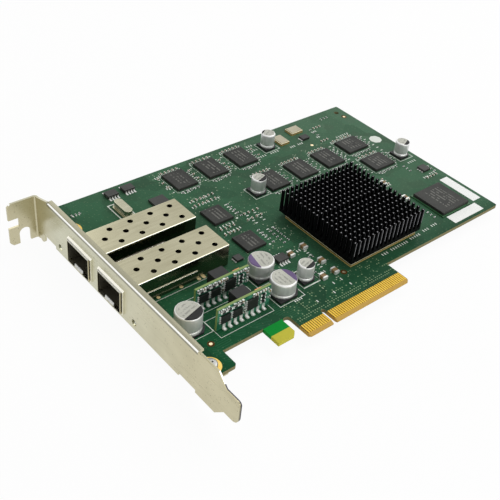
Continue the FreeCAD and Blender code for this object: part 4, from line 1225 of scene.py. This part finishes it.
# %% Leads of the module chips
LEAD_LOW, LEAD_HIGH = Vector((-0.32, -0.55, -0.18)) * MM, Vector((0.32, 0.0, 0.18)) * MM
LEAD_PITCH, LEAD_OUT = 0.85, 0.2
lead = slab("module_lead", LEAD_LOW, LEAD_HIGH)
bevel(lead, lambda e: e.y < LEAD_LOW.y + TINY, 0.12)
clear()
places = []
for side in ("front", "rear"):
    for low, high in islands(side + "_module_chips"):
        count = max(2, round((high.z - low.z) / (LEAD_PITCH * MM)))
        for x in (low.x - LEAD_OUT * MM, high.x + LEAD_OUT * MM):
            for i in range(count):
                z = low.z + (i + 0.5) / count * (high.z - low.z)
                places.append(Matrix.Translation((x, high.y, z)))
copies("module_leads", lead, places, "tin", tin)
print("module leads:", len(places))

# %% [markdown]
# ## Bare marks on the board
# Placement machines look for small round copper marks, test probes land on bare pads, and
# white ink gives a blank area for a stamp and a dot at a chip's first pin. All are discs
# with an inset rim, a hair thick.

# %% Bare marks
MARK_RIM, MARK_FILM = 0.12, 0.025
TEST_PADS = [(14.5, 45.0), (24.5, 45.0), (32.4, 44.8), (34.6, 44.8), (138.8, 36.6), (132.6, 90.6)]
FIRST_PINS = [(67.6, 66.0), (67.7, 45.9)]


def marks(name, places, radius, sides):
    made = []
    for place in places:
        mark = disc(name, spot(*place), radius, sides)
        take_all(mark)
        bpy.ops.mesh.inset(thickness=MARK_RIM * MM)
        thicken(mark, MARK_FILM)
        made.append(mark)
    return made


keep(join("copper_targets", marks("target", TARGETS, 0.65, 16)), "copper", finish=bare_pad)
keep(join("test_pads", marks("test_pad", TEST_PADS, 0.75, 16)), "contact_gold", finish=bare_pad)
stamps = marks("stamp_area", [(162.6, 78.3)], 3.1, 8) + marks("first_pin", FIRST_PINS, 0.45, 12)
keep(join("stamp_areas", stamps), "label_white", finish=ink_white)
print("marks:", len(TARGETS) + len(TEST_PADS) + len(FIRST_PINS) + 1)

# %% [markdown]
# ## Lenses and latches
# Behind each indicator hole a clear lens brings the lamp's light to the bracket, and in
# each port's mouth a springy tongue holds the plug. A lens is a lying cylinder with its
# front edge rounded off. A tongue is a thin upright slab whose upper edge is pushed inwards
# in edit mode.

# %% Lenses
LENS_RADIUS, LENS_BACK, LENS_SHIFT = 0.62, 0.25, 0.2
lenses = []
for low, high in islands("status_leds"):
    middle = (low + high) / 2
    front, back = spot(LENS_BACK, 0).x, low.x
    clear()
    bpy.ops.mesh.primitive_cylinder_add(
        vertices=20, radius=LENS_RADIUS * MM, depth=back - front, rotation=(0.0, math.pi / 2, 0.0),
        location=((front + back) / 2, middle.y - LENS_SHIFT * MM, middle.z - LENS_SHIFT * MM))
    lens = settle("lens")
    bevel(lens, lambda e: e.x < front + TINY, 0.4, 3)
    smooth(lens)
    lenses.append(lens)
keep(join("indicator_lenses", lenses), "led_clear", finish=lamp_clear)
print("lenses:", len(lenses))

# %% Latches
TONGUE = Vector((0.3, 5.4, 1.3)) * MM
TONGUE_FOOT, TONGUE_LEAN = 0.35, 0.3
tongues = []
for side in ("near", "far"):
    low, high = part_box(side + "_cage_base")
    foot = Vector((low.x + 0.1 * MM, (low.y + high.y - TONGUE.y) / 2, spot(0, 0, TONGUE_FOOT).z))
    tongue = slab("tongue", foot, foot + TONGUE)
    pick(tongue, "verts", lambda v: v.z > foot.z + TONGUE.z / 2)
    bpy.ops.transform.translate(value=(TONGUE_LEAN * MM, 0.0, 0.0))
    round_edges(tongue, 0.1)
    tongues.append(tongue)
keep(join("latch_tongues", tongues), "cage_nickel", finish=tin)
print("tongues:", len(tongues))

# %% [markdown]
# ## Port frames
# A pressed frame lies on the bracket round each port's mouth and hides the gap between the
# window and the cage. It is a slab with its front upper edge pushed down, so that the top
# slopes and catches the light, and with the mouth cut out of it down to its foot. Two more
# cuts at the mouth's sides leave simple faces only.

# %% Port frames
FRAME_OUT, FRAME_GAP, FRAME_SIDE, FRAME_TOP, FRAME_SLOPE = 0.75, 0.12, 0.30, 0.62, 0.5
rings = []
for side in ("near", "far"):
    low, high = (corner.copy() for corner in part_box(side + "_cage_base"))
    high.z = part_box(side + "_cage_cover")[1].z
    low.x, high.x = spot(-FRAME_OUT, 0).x, spot(0, 0).x
    mouth_low = low - Vector((1.0, FRAME_GAP, 1.0)) * MM
    mouth_high = high + Vector((1.0, FRAME_GAP, FRAME_GAP)) * MM
    low.y, high.y = mouth_low.y - FRAME_SIDE * MM, mouth_high.y + FRAME_SIDE * MM
    high.z = mouth_high.z + FRAME_TOP * MM
    ring = slab("port_frame", low, high)
    pick(ring, "edges", lambda e: e.x < low.x + TINY and e.z > high.z - TINY)
    bpy.ops.transform.translate(value=(0.0, 0.0, -FRAME_SLOPE * MM))
    carve(ring, slab("mouth", mouth_low, mouth_high))
    for corner in (mouth_low, mouth_high):
        cut(ring, corner, (0.0, 1.0, 0.0))
    round_edges(ring, 0.06)
    rings.append(ring)
keep(join("port_frames", rings), "cage_nickel", finish=frame_nickel)
print("port frames:", len(rings))
